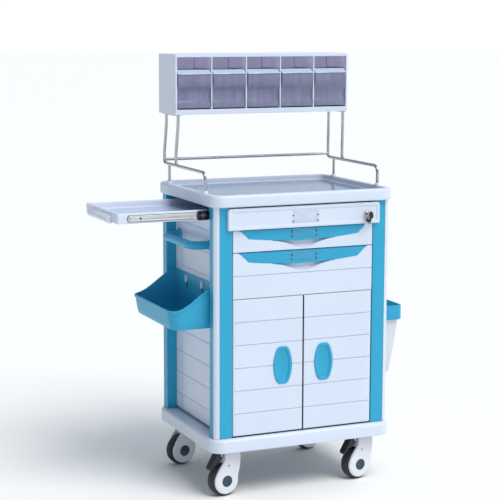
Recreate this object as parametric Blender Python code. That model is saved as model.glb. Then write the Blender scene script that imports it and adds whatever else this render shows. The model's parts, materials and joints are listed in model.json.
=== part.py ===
"""Hospital crash cart: a moulded trolley with drawers, doors, tilt bins and a pull-out shelf.

Metres, Z up, floor at z = 0. X runs to the right as seen from the front, Y runs to the back.
The sub-parts are worked out in the cart's own frame, whose zero is the middle of the body,
and hang from one empty that puts the middle of the whole footprint at the world's origin.
"""
import math

import bmesh
import bpy
from mathutils import Matrix, Vector

# ---------------------------------------------------------------- driving dimensions
FIT = 0.0003                 # gap between pieces that touch

TOP_W = 0.625                # worktop and base tray, left to right
TOP_D = 0.497                # worktop and base tray, front to back
TOP_CORNER = 0.045           # plan radius of their corners
TOP_H = 0.037
TOP_RIM = 0.022              # flat rim around the recess
TOP_RECESS = 0.018
EDGE = 0.004                 # small chamfer on moulded edges

BASE_BOTTOM = 0.149          # underside of the base tray
BASE_H = 0.043
BASE_WALL = 0.008

BODY_W = 0.600               # over the corner posts
BODY_D = 0.462
POST_W = 0.058
POST_D = 0.043
POST_CHAMFER_X = 0.0161        # rounded corner of a post, across and along the cart
POST_CHAMFER_Y = 0.0130

MODULE = 0.0722              # height of one slat
MODULE_COUNT = 9
FIRST_LINE = 0.1945          # lowest slat line
SEAM = 0.0012                # half of a gap between fronts
TOP_DRAWER_H = 0.0675
UNDER_TOP = 0.0045           # gap from the top drawer to the worktop

FRONT_T = 0.018              # thickness of doors and drawer fronts
PANEL_T = 0.014
PANEL_RECESS = 0.033         # side panels set back from the posts
BACK_RECESS = 0.012
PANEL_LIFT = 0.008           # slot under the panels
GROOVE_W = 0.0030
GROOVE_D = 0.0015
DIVIDER_T = 0.0018

FASCIA_IN = 0.0405             # from the body's side to the top drawer's fascia
FASCIA_T = 0.0117
BOX_WALL = 0.003
BOX_CLEAR = 0.0035           # side gap from a drawer box to the posts
BOX_DEPTH = 0.420
TOP_BOX_H = 0.022
LEDGE_IN = 0.010             # how far a runner's ledge reaches under a box
LEDGE_T = 0.003
RUNNER_T = 0.011

GRIP_IN = 0.021              # end of the blue pull, in from the post beside it
GRIP_TAPER = 0.025           # how far the pull narrows to its lower edge, at each end
GRIP_SIDE_H = 0.0293
GRIP_MID_H = 0.0410
GRIP_DEPTH = 0.009
GRIP_SUNK = 0.001
SCOOP_W = 0.200
SCOOP_DROP = 0.025
SCOOP_DEPTH = 0.013

DOOR_LIFT = 0.0047           # gap under the doors
DOOR_CHAMFER = 0.0045
DOOR_GAP = 0.0025            # door to post
PIN_INSET = 0.010
PIN_R = 0.003
PIN_CLEAR = 0.0003
CUP_W = 0.066
CUP_H = 0.121
CUP_FLANGE = 0.004
CUP_PROUD = 0.003
CUP_WALL = 0.005
CUP_X = 0.071                # cup centre from the middle of the cart
CUP_Z = 0.4095

LOCK_IN = 0.0455             # lock, in from the end of the top drawer's front
LOCK_RISE = 0.0287           # lock, above the lower fronts
LOCK_R = 0.008
LOCK_FLANGE_R = 0.0105
LOCK_PROUD = 0.0057
KEY_T = 0.0020
KEY_BLADE_W = 0.0065
KEY_BLADE = 0.014
KEY_SHANK = 0.012
BOW_R = 0.0115
BOW_T = 0.0040
BOW_HOLE_R = 0.0036
RING_R = 0.0070              # ring of the spare key, hung round the first key's shank
RING_WIRE = 0.0009
SPARE_BOW_R = 0.0085

SHELF_REACH = 0.589          # outer end of the pulled-out side shelf, from the middle
SHELF_L = 0.397
SHELF_FRONT = -0.170
SHELF_BACK = 0.140
SHELF_DROP = 0.0431          # underside of the shelf, below the worktop's underside
SHELF_H = 0.031
SHELF_RIM = 0.014
SHELF_FLOOR = 0.010
PULL_D = 0.015               # grip on the shelf's outer end
PULL_W = 0.195
PULL_H = 0.025
CHANNEL_CLEAR = 0.0055
CHANNEL_T = 0.002
CHANNEL_LIP = 0.004
CHANNEL_L = 0.255
CHANNEL_H = 0.023

RAIL_R = 0.005
RAIL_X = 0.298
RAIL_FRONT = -0.150
RAIL_BACK = 0.208              # where the side tubes turn up
RAIL_RISE = 0.062            # tube centre above the worktop rim
RAIL_BEND = 0.022
RAIL_TURN = 0.012
RAIL_END = 0.026               # height of the turned-up ends above the side tubes
RAIL_FOOT = 0.163              # rear feet
CROSSBAR_RISE = 0.011          # crossbar above the side tubes
LEG_FRONT = 0.102
LEG_LEAN = 0.010               # the legs lean forward by this much at the top
LEG_TOP_X = 0.294
STAND_BAR_W = 0.016
STAND_BAR_T = 0.003

BIN_W = 0.6114               # tilt-bin cabinet
BIN_D = 0.1538
BIN_H = 0.1920
BIN_FRONT = 0.0834
BIN_BOTTOM = 1.1764
BIN_COUNT = 5
BIN_SKIN = 0.006
BIN_SILL = 0.0166
BIN_HEAD = 0.0093
BIN_DIVIDER = 0.004
CUP_GAP = 0.0015             # tilt bin to divider
BIN_LIP_H = 0.122            # height of a tilt bin at its lip
BIN_CUP_D = 0.100
BIN_CUP_WALL = 0.0022
BIN_PIVOT_IN = 0.0085
BIN_PIVOT_UP = 0.0150

HANDLE_R = 0.013
HANDLE_OUT = 0.056           # tube centre out from the side panel
HANDLE_Y = 0.024
HANDLE_SPAN = 0.258
HANDLE_Z = 0.783
HANDLE_BEND = 0.030
ROSETTE_R = 0.021
ROSETTE_T = 0.004

BASKET_DEPTH = 0.158
BASKET_FRONT = -0.183
BASKET_BACK = 0.178
BASKET_BOTTOM = 0.533
BASKET_LOW = 0.596
BASKET_HIGH = 0.668
BASKET_CORNER = 0.035
BASKET_WALL = 0.003
BASKET_TAPER = 0.009

WASTE_OUT = 0.130            # collar's outer face from the post face
WASTE_GAP = 0.003
WASTE_W = 0.200
WASTE_TOP = 0.541
WASTE_COLLAR_H = 0.048
WASTE_CORNER = 0.022
WASTE_WALL = 0.004
WASTE_LEDGE = 0.0055
WASTE_BUCKET_H = 0.187
WASTE_TAPER = 0.024
WASTE_SKIN = 0.0025

CASTER_X = 0.234
CASTER_Y = 0.185
CASTER_TRAIL = 0.022
CASTER_YAW = 10.0            # degrees, how the casters happen to stand
WHEEL_R = 0.050
WHEEL_W = 0.032
WHEEL_CLEAR = 0.0025
HOUSING_W = 0.044
HOUSING_R = 0.042
HEAD_HALF = 0.030
PLATE = 0.070
PLATE_T = 0.0055
SWIVEL_GAP = 0.001
AXLE_R = 0.006
AXLE_CLEAR = 0.0003
PEDAL_W = 0.026

ARC_STEPS = 5

# ---------------------------------------------------------------- worked-out levels
BASE_TOP = BASE_BOTTOM + BASE_H
FRONTS_TOP = FIRST_LINE + MODULE * MODULE_COUNT
TOP_BOTTOM = FRONTS_TOP - SEAM + TOP_DRAWER_H + UNDER_TOP
TOP_TOP = TOP_BOTTOM + TOP_H
OPENING = BODY_W / 2 - POST_W                  # half width between the front posts
FACE_Y = -BODY_D / 2                           # front plane of posts, doors and drawers
POST_BACK = BODY_D / 2 - POST_D                # inner face of the posts, front to back
PANEL_X = BODY_W / 2 - PANEL_RECESS            # outer face of the side panels
DOOR_TOP = FIRST_LINE + 6 * MODULE
DRAWER_3_TOP = FIRST_LINE + 8 * MODULE
RAIL_Z = TOP_TOP + RAIL_RISE
FASCIA_W = BODY_W - 2 * FASCIA_IN
LOCK_X = FASCIA_W / 2 - LOCK_IN
LOCK_Z = FRONTS_TOP + LOCK_RISE
SHELF_BOTTOM = TOP_BOTTOM - SHELF_DROP
PLATE_BOTTOM = BASE_BOTTOM - PLATE_T
SHELF_END = SHELF_REACH + PULL_D
KEY_Y = FACE_Y - FIT - FASCIA_T - LOCK_PROUD   # face of the lock
BOW_Y = KEY_Y - KEY_SHANK - BOW_R
WASTE_REACH = BODY_W / 2 + WASTE_OUT
CENTRE_X = (WASTE_REACH - SHELF_END) / 2
CENTRE_Y = (TOP_D / 2 + BOW_Y - BOW_R) / 2


# ---------------------------------------------------------------- modelling helpers
def clear_scene():
    """Remove whatever the scene holds."""
    for thing in list(bpy.data.objects):
        bpy.data.objects.remove(thing, do_unlink=True)


def material(name, colour, roughness, metallic=0.0, alpha=1.0):
    """A Principled material of one colour."""
    made = bpy.data.materials.new(name)
    made.use_nodes = True
    shader = made.node_tree.nodes["Principled BSDF"]
    shader.inputs["Base Color"].default_value = (*colour, 1.0)
    shader.inputs["Roughness"].default_value = roughness
    shader.inputs["Metallic"].default_value = metallic
    shader.inputs["Alpha"].default_value = alpha
    return made


def empty(name, at, parent=None, turn=0.0):
    """An empty at a joint or a group's place; turn is about Z, in degrees."""
    made = bpy.data.objects.new(name, None)
    made.location = at
    made.rotation_euler = (0.0, 0.0, math.radians(turn))
    made.parent = parent
    bpy.context.scene.collection.objects.link(made)
    return made


def node(name, shape, finish, parent, smooth=False):
    """One sub-part: a shape modelled in its parent's own frame."""
    bmesh.ops.recalc_face_normals(shape, faces=shape.faces)
    mesh = bpy.data.meshes.new(name)
    shape.to_mesh(mesh)
    shape.free()
    mesh.materials.append(finish)
    if smooth:
        mesh.shade_smooth()
        mesh.set_sharp_from_angle(angle=math.radians(35))
    made = bpy.data.objects.new(name, mesh)
    made.parent = parent
    bpy.context.scene.collection.objects.link(made)


def hang(name, shape, finish, joint, at):
    """A sub-part modelled in the cart's frame, hung on the joint's empty at the given point."""
    bmesh.ops.translate(shape, verts=shape.verts, vec=-Vector(at))
    node(name, shape, finish, joint)


def loft(loops, ring=False):
    """Skin between loops of points; the ends are capped unless the loops close on themselves."""
    shape = bmesh.new()
    rows = [[shape.verts.new(p) for p in loop] for loop in loops]
    pairs = list(zip(rows, rows[1:]))
    if ring:
        pairs.append((rows[-1], rows[0]))
    for low, high in pairs:
        for i in range(len(low)):
            j = (i + 1) % len(low)
            shape.faces.new((low[i], low[j], high[j], high[i]))
    if not ring:
        shape.faces.new(rows[0][::-1])
        shape.faces.new(rows[-1])
    bmesh.ops.recalc_face_normals(shape, faces=shape.faces)
    return shape


def block(x0, x1, y0, y1, z0, z1):
    """A plain box between two corners."""
    plan = [(x0, y0), (x1, y0), (x1, y1), (x0, y1)]
    return loft([[(x, y, z) for x, y in plan] for z in (z0, z1)])


def prism(outline, axis, low, high):
    """An outline of two coordinates carried along the third one."""
    def spot(a, b, c):
        return {"x": (c, a, b), "y": (a, c, b), "z": (a, b, c)}[axis]
    return loft([[spot(a, b, c) for a, b in outline] for c in (low, high)])


def rounded(x0, x1, y0, y1, radii, steps=ARC_STEPS):
    """A rectangle with its own radius at each corner, from (x0, y0) round to (x0, y1)."""
    corners = [(x0, y0, 1, 1), (x1, y0, -1, 1), (x1, y1, -1, -1), (x0, y1, 1, -1)]
    points = []
    for n, (x, y, sx, sy) in enumerate(corners):
        r = radii[n]
        start = math.pi + n * math.pi / 2
        for k in range(steps + 1):
            a = start + k * math.pi / 2 / steps
            points.append((x + sx * r + r * math.cos(a), y + sy * r + r * math.sin(a)))
    return points


def slab_loop(inset, z):
    """One level of the worktop's or base tray's outline."""
    r = max(TOP_CORNER - inset, 0.004)
    x, y = TOP_W / 2 - inset, TOP_D / 2 - inset
    return [(a, b, z) for a, b in rounded(-x, x, -y, y, (r, r, r, r))]


def circle(r, steps, centre=(0.0, 0.0)):
    """Points of a circle."""
    turns = [2 * math.pi * k / steps for k in range(steps)]
    return [(centre[0] + r * math.cos(a), centre[1] + r * math.sin(a)) for a in turns]


def turned(profile, steps, ring=False):
    """A profile of (radius, place along Y) turned about the Y axis."""
    return loft([[(x, y, z) for x, z in circle(r, steps)] for r, y in profile], ring)


def rod(r, axis, low, high, centre=(0.0, 0.0), steps=16):
    """A round bar along an axis, through the centre given by the other two coordinates."""
    return prism(circle(r, steps, centre), axis, low, high)


def tube(points, radius, resolution=2):
    """A bent bar: a curve with a round bevel and filled caps, turned into a mesh."""
    curve = bpy.data.curves.new("bar", "CURVE")
    curve.dimensions = "3D"
    curve.bevel_depth = radius
    curve.bevel_resolution = resolution
    curve.use_fill_caps = True
    line = curve.splines.new("POLY")
    line.points.add(len(points) - 1)
    for spot, p in zip(line.points, points):
        spot.co = (*p, 1.0)
    made = bpy.data.objects.new("bar", curve)
    bpy.context.scene.collection.objects.link(made)
    shape = evaluated(made)
    bmesh.ops.remove_doubles(shape, verts=shape.verts, dist=1e-6)
    bpy.data.objects.remove(made, do_unlink=True)
    return shape


def evaluated(made):
    """The object's mesh with its modifiers, as an editable shape."""
    bpy.context.view_layer.update()
    graph = bpy.context.evaluated_depsgraph_get()
    mesh = bpy.data.meshes.new_from_object(made.evaluated_get(graph))
    shape = bmesh.new()
    shape.from_mesh(mesh)
    bpy.data.meshes.remove(mesh)
    return shape


def combine(shape, others, operation):
    """The shape joined with, or cut by, each of the others."""
    def stand_in(held):
        mesh = bpy.data.meshes.new("work")
        bmesh.ops.recalc_face_normals(held, faces=held.faces)
        held.to_mesh(mesh)
        held.free()
        made = bpy.data.objects.new("work", mesh)
        bpy.context.scene.collection.objects.link(made)
        return made
    for other in others:
        pair = [stand_in(shape), stand_in(other)]
        step = pair[0].modifiers.new("step", "BOOLEAN")
        step.operation = operation
        step.solver = "EXACT"
        step.object = pair[1]
        shape = evaluated(pair[0])
        for made in pair:
            bpy.data.objects.remove(made, do_unlink=True)
    return shape


def cut(shape, *others):
    """The shape without the others."""
    return combine(shape, others, "DIFFERENCE")


def join(shape, *others):
    """The shape and the others as one body."""
    return combine(shape, others, "UNION")


def bend(corner, start, end, radius, steps=ARC_STEPS):
    """Points of a round bend at a corner between two straight runs at right angles."""
    corner, start, end = Vector(corner), Vector(start), Vector(end)
    back = (start - corner).normalized()
    on = (end - corner).normalized()
    middle = corner + (back + on) * radius
    turns = [math.pi / 2 * k / steps for k in range(steps + 1)]
    return [middle - on * radius * math.cos(a) - back * radius * math.sin(a) for a in turns]


def mirrored(outline, side):
    """An outline of (x, other) points flipped to the left when side is -1."""
    points = [(side * a, b) for a, b in outline]
    return points if side > 0 else points[::-1]


# ---------------------------------------------------------------- base, posts, worktop, panels
def make_base(cart):
    """Moulded base tray, hollow from below."""
    w = BASE_WALL
    loops = [slab_loop(w, BASE_TOP - w), slab_loop(w, BASE_BOTTOM),
             slab_loop(EDGE, BASE_BOTTOM), slab_loop(0, BASE_BOTTOM + EDGE),
             slab_loop(0, BASE_TOP - EDGE), slab_loop(EDGE, BASE_TOP)]
    node("base_tray", loft(loops), WHITE, cart)


def make_underframe(cart):
    """Steel frame inside the base tray with the four caster plates under it."""
    top = BASE_BOTTOM + 0.020
    x, y = CASTER_X + PLATE / 2, CASTER_Y + PLATE / 2
    shape = block(-x, x, -y, y, BASE_BOTTOM, top)
    window = CASTER_X - PLATE / 2
    for side in (-1, 1):
        near, far = sorted((side * PLATE / 4, side * (y - PLATE)))
        shape = cut(shape, block(-window, window, near, far, BASE_BOTTOM - 0.01, top + 0.01))
    for sx in (-1, 1):
        for sy in (-1, 1):
            cx, cy, h = sx * CASTER_X, sy * CASTER_Y, PLATE / 2
            plate = block(cx - h + 0.001, cx + h - 0.001, cy - h + 0.001, cy + h - 0.001,
                          PLATE_BOTTOM, BASE_BOTTOM + 0.004)
            shape = join(shape, plate)
    node("underframe", shape, STEEL, cart)


def make_posts(cart):
    """Four corner posts, each with a white strip over its chamfered edge."""
    x, y = BODY_W / 2, BODY_D / 2
    cx, cy = POST_CHAMFER_X, POST_CHAMFER_Y
    low, high = BASE_TOP + FIT, TOP_BOTTOM - FIT
    post = [(x - POST_W, y), (x - POST_W, y - POST_D), (x, y - POST_D), (x, y - cy), (x - cx, y)]
    arc = [(x - cx + cx * math.cos(a), y - cy + cy * math.sin(a))
           for a in [math.pi / 2 * k / 6 for k in range(7)]]
    lift = FIT * 1.5
    strip = [(a + lift, b + lift) for a, b in arc]
    for name, sx, sy in (("front_left", -1, -1), ("front_right", 1, -1),
                         ("back_left", -1, 1), ("back_right", 1, 1)):
        for kind, outline, finish in (("post", post, BLUE), ("corner_strip", strip, WHITE)):
            placed = [(sx * a, sy * b) for a, b in outline]
            node(f"{kind}_{name}", prism(placed, "z", low, high), finish, cart)


def make_worktop(cart):
    """Worktop with a rounded rim around a shallow recess."""
    rim, wall = TOP_RIM, 0.005
    loops = [slab_loop(rim + wall, TOP_TOP - TOP_RECESS), slab_loop(rim, TOP_TOP - 0.002),
             slab_loop(rim - 0.002, TOP_TOP), slab_loop(EDGE, TOP_TOP),
             slab_loop(0, TOP_TOP - EDGE), slab_loop(0, TOP_BOTTOM + EDGE),
             slab_loop(EDGE, TOP_BOTTOM)]
    node("worktop", loft(loops), WHITE, cart)


def grooved(face, back, low, high):
    """Section of a slatted panel: (depth, z), with a V groove at each slat line on its face."""
    inward = math.copysign(GROOVE_D, back - face)
    points = [(back, low), (face, low)]
    for n in range(MODULE_COUNT + 1):
        z = FIRST_LINE + n * MODULE
        if low + GROOVE_W < z < high - GROOVE_W:
            points += [(face, z - GROOVE_W / 2), (face + inward, z), (face, z + GROOVE_W / 2)]
    return points + [(face, high), (back, high)]


def make_panels(cart):
    """Slatted side and back panels between the posts; the left one stops below the shelf."""
    low = BASE_TOP + PANEL_LIFT
    y = POST_BACK - FIT
    shelf_low = SHELF_BOTTOM - 0.004
    left = grooved(-PANEL_X, PANEL_T - PANEL_X, low, shelf_low)
    right = grooved(PANEL_X, PANEL_X - PANEL_T, low, TOP_BOTTOM - FIT)
    node("panel_left", across_y(left, -y, y), WHITE, cart)
    node("panel_right", across_y(right, -y, y), WHITE, cart)
    face = BODY_D / 2 - BACK_RECESS
    rear = grooved(face, face - PANEL_T, low, TOP_BOTTOM - FIT)
    node("panel_back", prism(rear, "x", -OPENING + FIT, OPENING - FIT), WHITE, cart)


def across_y(section, low, high):
    """A section of (x, z) carried along Y."""
    return prism(section, "y", low, high)


def make_divider(cart):
    """Thin steel sheet between the drawers and the door compartment."""
    x, y = PANEL_X - PANEL_T - FIT, BODY_D / 2 - BACK_RECESS - PANEL_T - FIT
    low, high = DOOR_TOP - DIVIDER_T / 2, DOOR_TOP + DIVIDER_T / 2
    sheet = block(-x, x, -POST_BACK + FIT, POST_BACK - FIT, low, high)
    inner = OPENING - FIT
    sheet = join(sheet, block(-inner, inner, FACE_Y + 0.001, y, low, high))
    node("divider", sheet, STEEL, cart)


def box_levels():
    """Bottom and top of the three drawer boxes, from the top one down."""
    return [(FRONTS_TOP + 0.004, FRONTS_TOP + 0.004 + TOP_BOX_H),
            (DRAWER_3_TOP + 0.006, FRONTS_TOP - 0.012),
            (DOOR_TOP + 0.008, DRAWER_3_TOP - 0.014)]


def make_runners(cart):
    """A runner on each side panel with one ledge under each drawer box."""
    outer = PANEL_X - PANEL_T - FIT
    face = outer - RUNNER_T
    tip = OPENING - BOX_CLEAR - LEDGE_IN
    levels = sorted(low - FIT for low, high in box_levels())
    section = [(outer, levels[0] - LEDGE_T)]
    for z in levels:
        if z != levels[0]:
            section.append((face, z - LEDGE_T))
        section += [(tip, z - LEDGE_T), (tip, z), (face, z)]
    section += [(face, levels[-1] + 0.012), (outer, levels[-1] + 0.012)]
    for name, side in (("runner_left", -1), ("runner_right", 1)):
        outline = mirrored(section, side)
        node(name, across_y(outline, -POST_BACK + FIT, POST_BACK - FIT), STEEL, cart)


# ---------------------------------------------------------------- drawers and lock
def open_box(x0, x1, y0, y1, z0, z1, wall, floor):
    """A box open at the top, with walls of one thickness and a floor of another."""
    def level(inset, z):
        a, b, c, d = x0 + inset, x1 - inset, y0 + inset, y1 - inset
        return [(a, c, z), (b, c, z), (b, d, z), (a, d, z)]
    return loft([level(0, z0), level(0, z1), level(wall, z1), level(wall, z0 + floor)])


def grip_outline(top, rise=0.0):
    """Outline (x, z) of the blue pull; its lower edge sags in an arc between two slanted ends."""
    half = OPENING - GRIP_IN
    low = half - GRIP_TAPER
    right = [(half, top + rise)] if rise else []
    for k in range(5):
        t = k / 4
        right.append((half + (low - half) * t ** 0.7, top - GRIP_SIDE_H * t ** 1.6))
    steps = 12
    under = []
    for k in range(1, steps):
        u = 1 - 2 * k / steps
        sag = (GRIP_MID_H - GRIP_SIDE_H) * (1 - u * u)
        under.append((low * u, top - GRIP_SIDE_H - sag))
    return right + under + [(-x, z) for x, z in right[::-1]]


def drawn_in(outline, distance):
    """A clockwise outline moved inwards by a distance, each corner along its bisector."""
    points = [Vector(p) for p in outline]
    made = []
    for n, here in enumerate(points):
        before = (here - points[n - 1]).normalized()
        after = (points[(n + 1) % len(points)] - here).normalized()
        a, b = Vector((before.y, -before.x)), Vector((after.y, -after.x))
        made.append(tuple(here + (a + b) * distance / (1 + a.dot(b))))
    return made


def scoop(top):
    """Rounded finger hollow below the pull."""
    shape = bmesh.new()
    bmesh.ops.create_uvsphere(shape, u_segments=20, v_segments=10, radius=1.0)
    size = Matrix.Diagonal((SCOOP_W / 2, SCOOP_DEPTH, SCOOP_DROP + 0.004, 1.0))
    place = Matrix.Translation((0.0, FACE_Y - 0.0007, top - GRIP_MID_H + 0.004))
    bmesh.ops.transform(shape, matrix=place @ size, verts=shape.verts)
    return shape


def make_drawer(cart, number, low, high, level):
    """A lower drawer: slatted front with a scoop, blue pull, and its box."""
    at = (0.0, FACE_Y, (low + high) / 2)
    slide = empty(f"drawer_{number}_slide", at, cart)
    x = OPENING - DOOR_GAP
    front = prism(grooved(FACE_Y, FACE_Y + FRONT_T, low + SEAM, high - SEAM), "x", -x, x)
    top = high - SEAM
    notch = prism(grip_outline(top, 0.01), "y", FACE_Y - 0.01, FACE_Y + GRIP_DEPTH)
    front = cut(front, scoop(top), notch)
    outline = drawn_in(grip_outline(top), FIT)
    grip = prism(outline, "y", FACE_Y + GRIP_SUNK, FACE_Y + GRIP_DEPTH - FIT)
    back = FACE_Y + FRONT_T + FIT
    w = OPENING - BOX_CLEAR
    box = open_box(-w, w, back, FACE_Y + BOX_DEPTH, *level, BOX_WALL, BOX_WALL)
    for name, shape, finish in ((f"drawer_{number}_front", front, WHITE),
                                (f"drawer_{number}_grip", grip, BLUE),
                                (f"drawer_{number}_box", box, GREY)):
        hang(name, shape, finish, slide, at)


def make_top_drawer(cart, level):
    """The shallow top drawer with its wide fascia."""
    at = (0.0, FACE_Y, (level[0] + level[1]) / 2)
    slide = empty("top_drawer_slide", at, cart)
    low = FRONTS_TOP - SEAM
    back = FACE_Y - FIT
    plan = rounded(-FASCIA_W / 2, FASCIA_W / 2, low, low + TOP_DRAWER_H,
                   (0.003, 0.003, 0.009, 0.009), 3)
    fascia = prism(plan, "y", back - FASCIA_T, back)
    bore = rod(LOCK_R + FIT, "y", back - FASCIA_T - 0.01, back + 0.01, (LOCK_X, LOCK_Z), 20)
    fascia = cut(fascia, bore)
    w = OPENING - BOX_CLEAR
    box = open_box(-w, w, FACE_Y, FACE_Y + BOX_DEPTH, *level, BOX_WALL, BOX_WALL)
    hang("top_drawer_front", fascia, WHITE, slide, at)
    hang("top_drawer_box", box, GREY, slide, at)
    make_lock(slide, at)


def key_shape(along):
    """A key in the YZ plane: blade from y = 0 forward, then the shank and a round bow."""
    h = KEY_BLADE_W / 2
    blade = block(-KEY_T / 2, KEY_T / 2, -along, KEY_BLADE, -h, h)
    bow = rod(BOW_R, "x", -BOW_T / 2, BOW_T / 2, (-along - BOW_R + 0.002, 0.0), 20)
    hole = rod(BOW_HOLE_R, "x", -BOW_T, BOW_T, (-along - BOW_R - 0.003, 0.0), 12)
    return cut(join(blade, bow), hole)


def make_lock(slide, origin):
    """Cam lock barrel in the fascia with its key, and a spare key that hangs round the shank."""
    back = FACE_Y - FIT - FIT
    neck = KEY_Y + LOCK_PROUD - FIT
    outline = [(LOCK_R, back), (LOCK_R, neck), (LOCK_FLANGE_R, neck),
               (LOCK_FLANGE_R, KEY_Y + 0.001), (LOCK_FLANGE_R - 0.001, KEY_Y)]
    h, t = KEY_BLADE_W / 2 + FIT, KEY_T / 2 + FIT
    slot = block(-t, t, KEY_Y - 0.01, KEY_Y + KEY_BLADE + FIT, -h, h)
    barrel = cut(turned(outline, 20), slot)
    key = key_shape(KEY_SHANK)
    bmesh.ops.translate(key, verts=key.verts, vec=(0.0, KEY_Y, 0.0))
    spare = spare_shape()
    bmesh.ops.translate(spare, verts=spare.verts, vec=(0.0, KEY_Y - KEY_SHANK / 2, 0.0))
    for shape in (barrel, key, spare):
        bmesh.ops.translate(shape, verts=shape.verts, vec=(LOCK_X, 0.0, LOCK_Z))
    axis = Vector((LOCK_X, KEY_Y, LOCK_Z))
    shank = axis - Vector((0.0, KEY_SHANK / 2, 0.0))
    turn = empty("key_turn", axis - Vector(origin), slide)
    swing = empty("spare_key_swing", shank - Vector(origin), slide)
    hang("lock_barrel", barrel, CHROME, turn, axis)
    hang("key", key, BLACK, turn, axis)
    hang("spare_key", spare, BLACK, swing, shank)


def spare_shape():
    """Split ring in the XZ plane round a key's shank, with the spare key at its lowest point."""
    steps = 20
    reach = RING_R - RING_WIRE - KEY_BLADE_W / 2 - FIT
    rows = []
    for k in range(steps):
        a = 2 * math.pi * k / steps
        out = Vector((math.sin(a), 0.0, math.cos(a)))
        spot = Vector((0.0, 0.0, -reach)) + out * RING_R
        rows.append([spot + out * u + Vector((0.0, v, 0.0)) for u, v in circle(RING_WIRE, 6)])
    drop = -reach - RING_R - SPARE_BOW_R + RING_WIRE * 0.7
    bow = rod(SPARE_BOW_R, "y", -BOW_T / 2, BOW_T / 2, (0.0, drop), 16)
    return join(loft(rows, ring=True), bow)


# ---------------------------------------------------------------- doors
def cup_outline(inset):
    """Outline (x, z) of a door cup: a tall barrel with flattened ends, about its own centre."""
    half, tall = CUP_W / 2 - inset, CUP_H / 2 - inset
    points = []
    for k in range(24):
        a = 2 * math.pi * (k + 0.5) / 24
        c, s = math.cos(a), math.sin(a)
        points.append((half * math.copysign(abs(c) ** 0.75, c),
                       tall * math.copysign(abs(s) ** 0.75, s)))
    return points


def make_door(cart, name, side):
    """A slatted door with its hinge pin and a finger cup near the middle."""
    edge = OPENING - DOOR_GAP
    low, high = BASE_TOP + DOOR_LIFT, DOOR_TOP - DIVIDER_T / 2 - FIT
    c = DOOR_CHAMFER

    def section(inset):
        return grooved(FACE_Y + inset, FACE_Y + FRONT_T - inset, low, high)
    rows = [(side * edge, c), (side * (edge - c), 0.0), (side * SEAM, 0.0)]
    door = loft([[(x, y, z) for y, z in section(inset)] for x, inset in rows])
    pin_x, pin_y = side * (edge - PIN_INSET), FACE_Y + FRONT_T / 2
    bore = rod(PIN_R + PIN_CLEAR, "z", low - 0.01, high + 0.01, (pin_x, pin_y), 16)
    cup_x = side * CUP_X

    def cup_at(inset, front, back):
        outline = [(cup_x + a, CUP_Z + b) for a, b in cup_outline(inset)]
        return prism(outline, "y", front, back)
    door = cut(door, bore, cup_at(CUP_FLANGE, FACE_Y - 0.01, FACE_Y + FRONT_T + 0.01))
    proud = FACE_Y - CUP_PROUD
    cup = join(cup_at(0.0, proud, FACE_Y - FIT),
               cup_at(CUP_FLANGE + FIT, FACE_Y - 0.001, FACE_Y + FRONT_T - 0.001))
    cup = cut(cup, cup_at(CUP_FLANGE + CUP_WALL, proud - 0.01, FACE_Y + FRONT_T - 0.004))
    at = (pin_x, pin_y, low)
    hinge = empty(f"door_{name}_hinge", at, cart)
    hang(f"door_{name}", door, WHITE, hinge, at)
    hang(f"door_cup_{name}", cup, BLUE, hinge, at)
    pin = rod(PIN_R, "z", BASE_TOP + FIT, high, (pin_x, pin_y), 16)
    node(f"hinge_pin_{name}", pin, STEEL, cart)


# ---------------------------------------------------------------- side shelf
def make_shelf(cart):
    """Pull-out side shelf and the two channels that carry it under the worktop."""
    x0, x1 = -SHELF_REACH, SHELF_L - SHELF_REACH
    top = SHELF_BOTTOM + SHELF_H
    tray = open_box(x0, x1, SHELF_FRONT, SHELF_BACK, SHELF_BOTTOM, top, SHELF_RIM, SHELF_FLOOR)
    middle = (SHELF_FRONT + SHELF_BACK) / 2
    grip = block(x0 - PULL_D, x0 + 0.004, middle - PULL_W / 2, middle + PULL_W / 2,
                 SHELF_BOTTOM - 0.004, SHELF_BOTTOM - 0.004 + PULL_H)
    at = (x0, middle, SHELF_BOTTOM)
    slide = empty("side_shelf_slide", at, cart)
    hang("side_shelf", join(tray, grip), WHITE, slide, at)
    low = SHELF_BOTTOM + SHELF_H / 2 - CHANNEL_H / 2
    high = low + CHANNEL_H
    start = -BODY_W / 2 + 0.004
    for name, side, near in (("shelf_channel_front", 1, SHELF_FRONT),
                             ("shelf_channel_back", -1, SHELF_BACK)):
        wall = -side * (POST_BACK - FIT)
        web = near - side * (CHANNEL_CLEAR + CHANNEL_LIP)
        t, lip = side * CHANNEL_T, side * CHANNEL_LIP
        section = [(wall, low), (wall, low + CHANNEL_T), (web, low + CHANNEL_T),
                   (web, high), (web + t + lip, high), (web + t + lip, high - CHANNEL_T),
                   (web + t, high - CHANNEL_T), (web + t, low + CHANNEL_T),
                   (web + t + lip, low + CHANNEL_T), (web + t + lip, low)]
        node(name, prism(section, "x", start, start + CHANNEL_L), BLACK, cart)


# ---------------------------------------------------------------- rail, stands, tilt bins
def side_tube(x, radius):
    """One side of the guard rail: up from its foot, back along the worktop, and up again."""
    f, b, z = RAIL_FRONT, RAIL_BACK, RAIL_Z
    foot, turn, top = (x, f, TOP_TOP + FIT), (x, b, z), (x, b, z + RAIL_END)
    points = [Vector(foot)] + bend((x, f, z), foot, turn, RAIL_BEND)
    points += bend(turn, (x, f, z), top, RAIL_TURN)
    return tube(points + [Vector(top)], radius)


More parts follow.
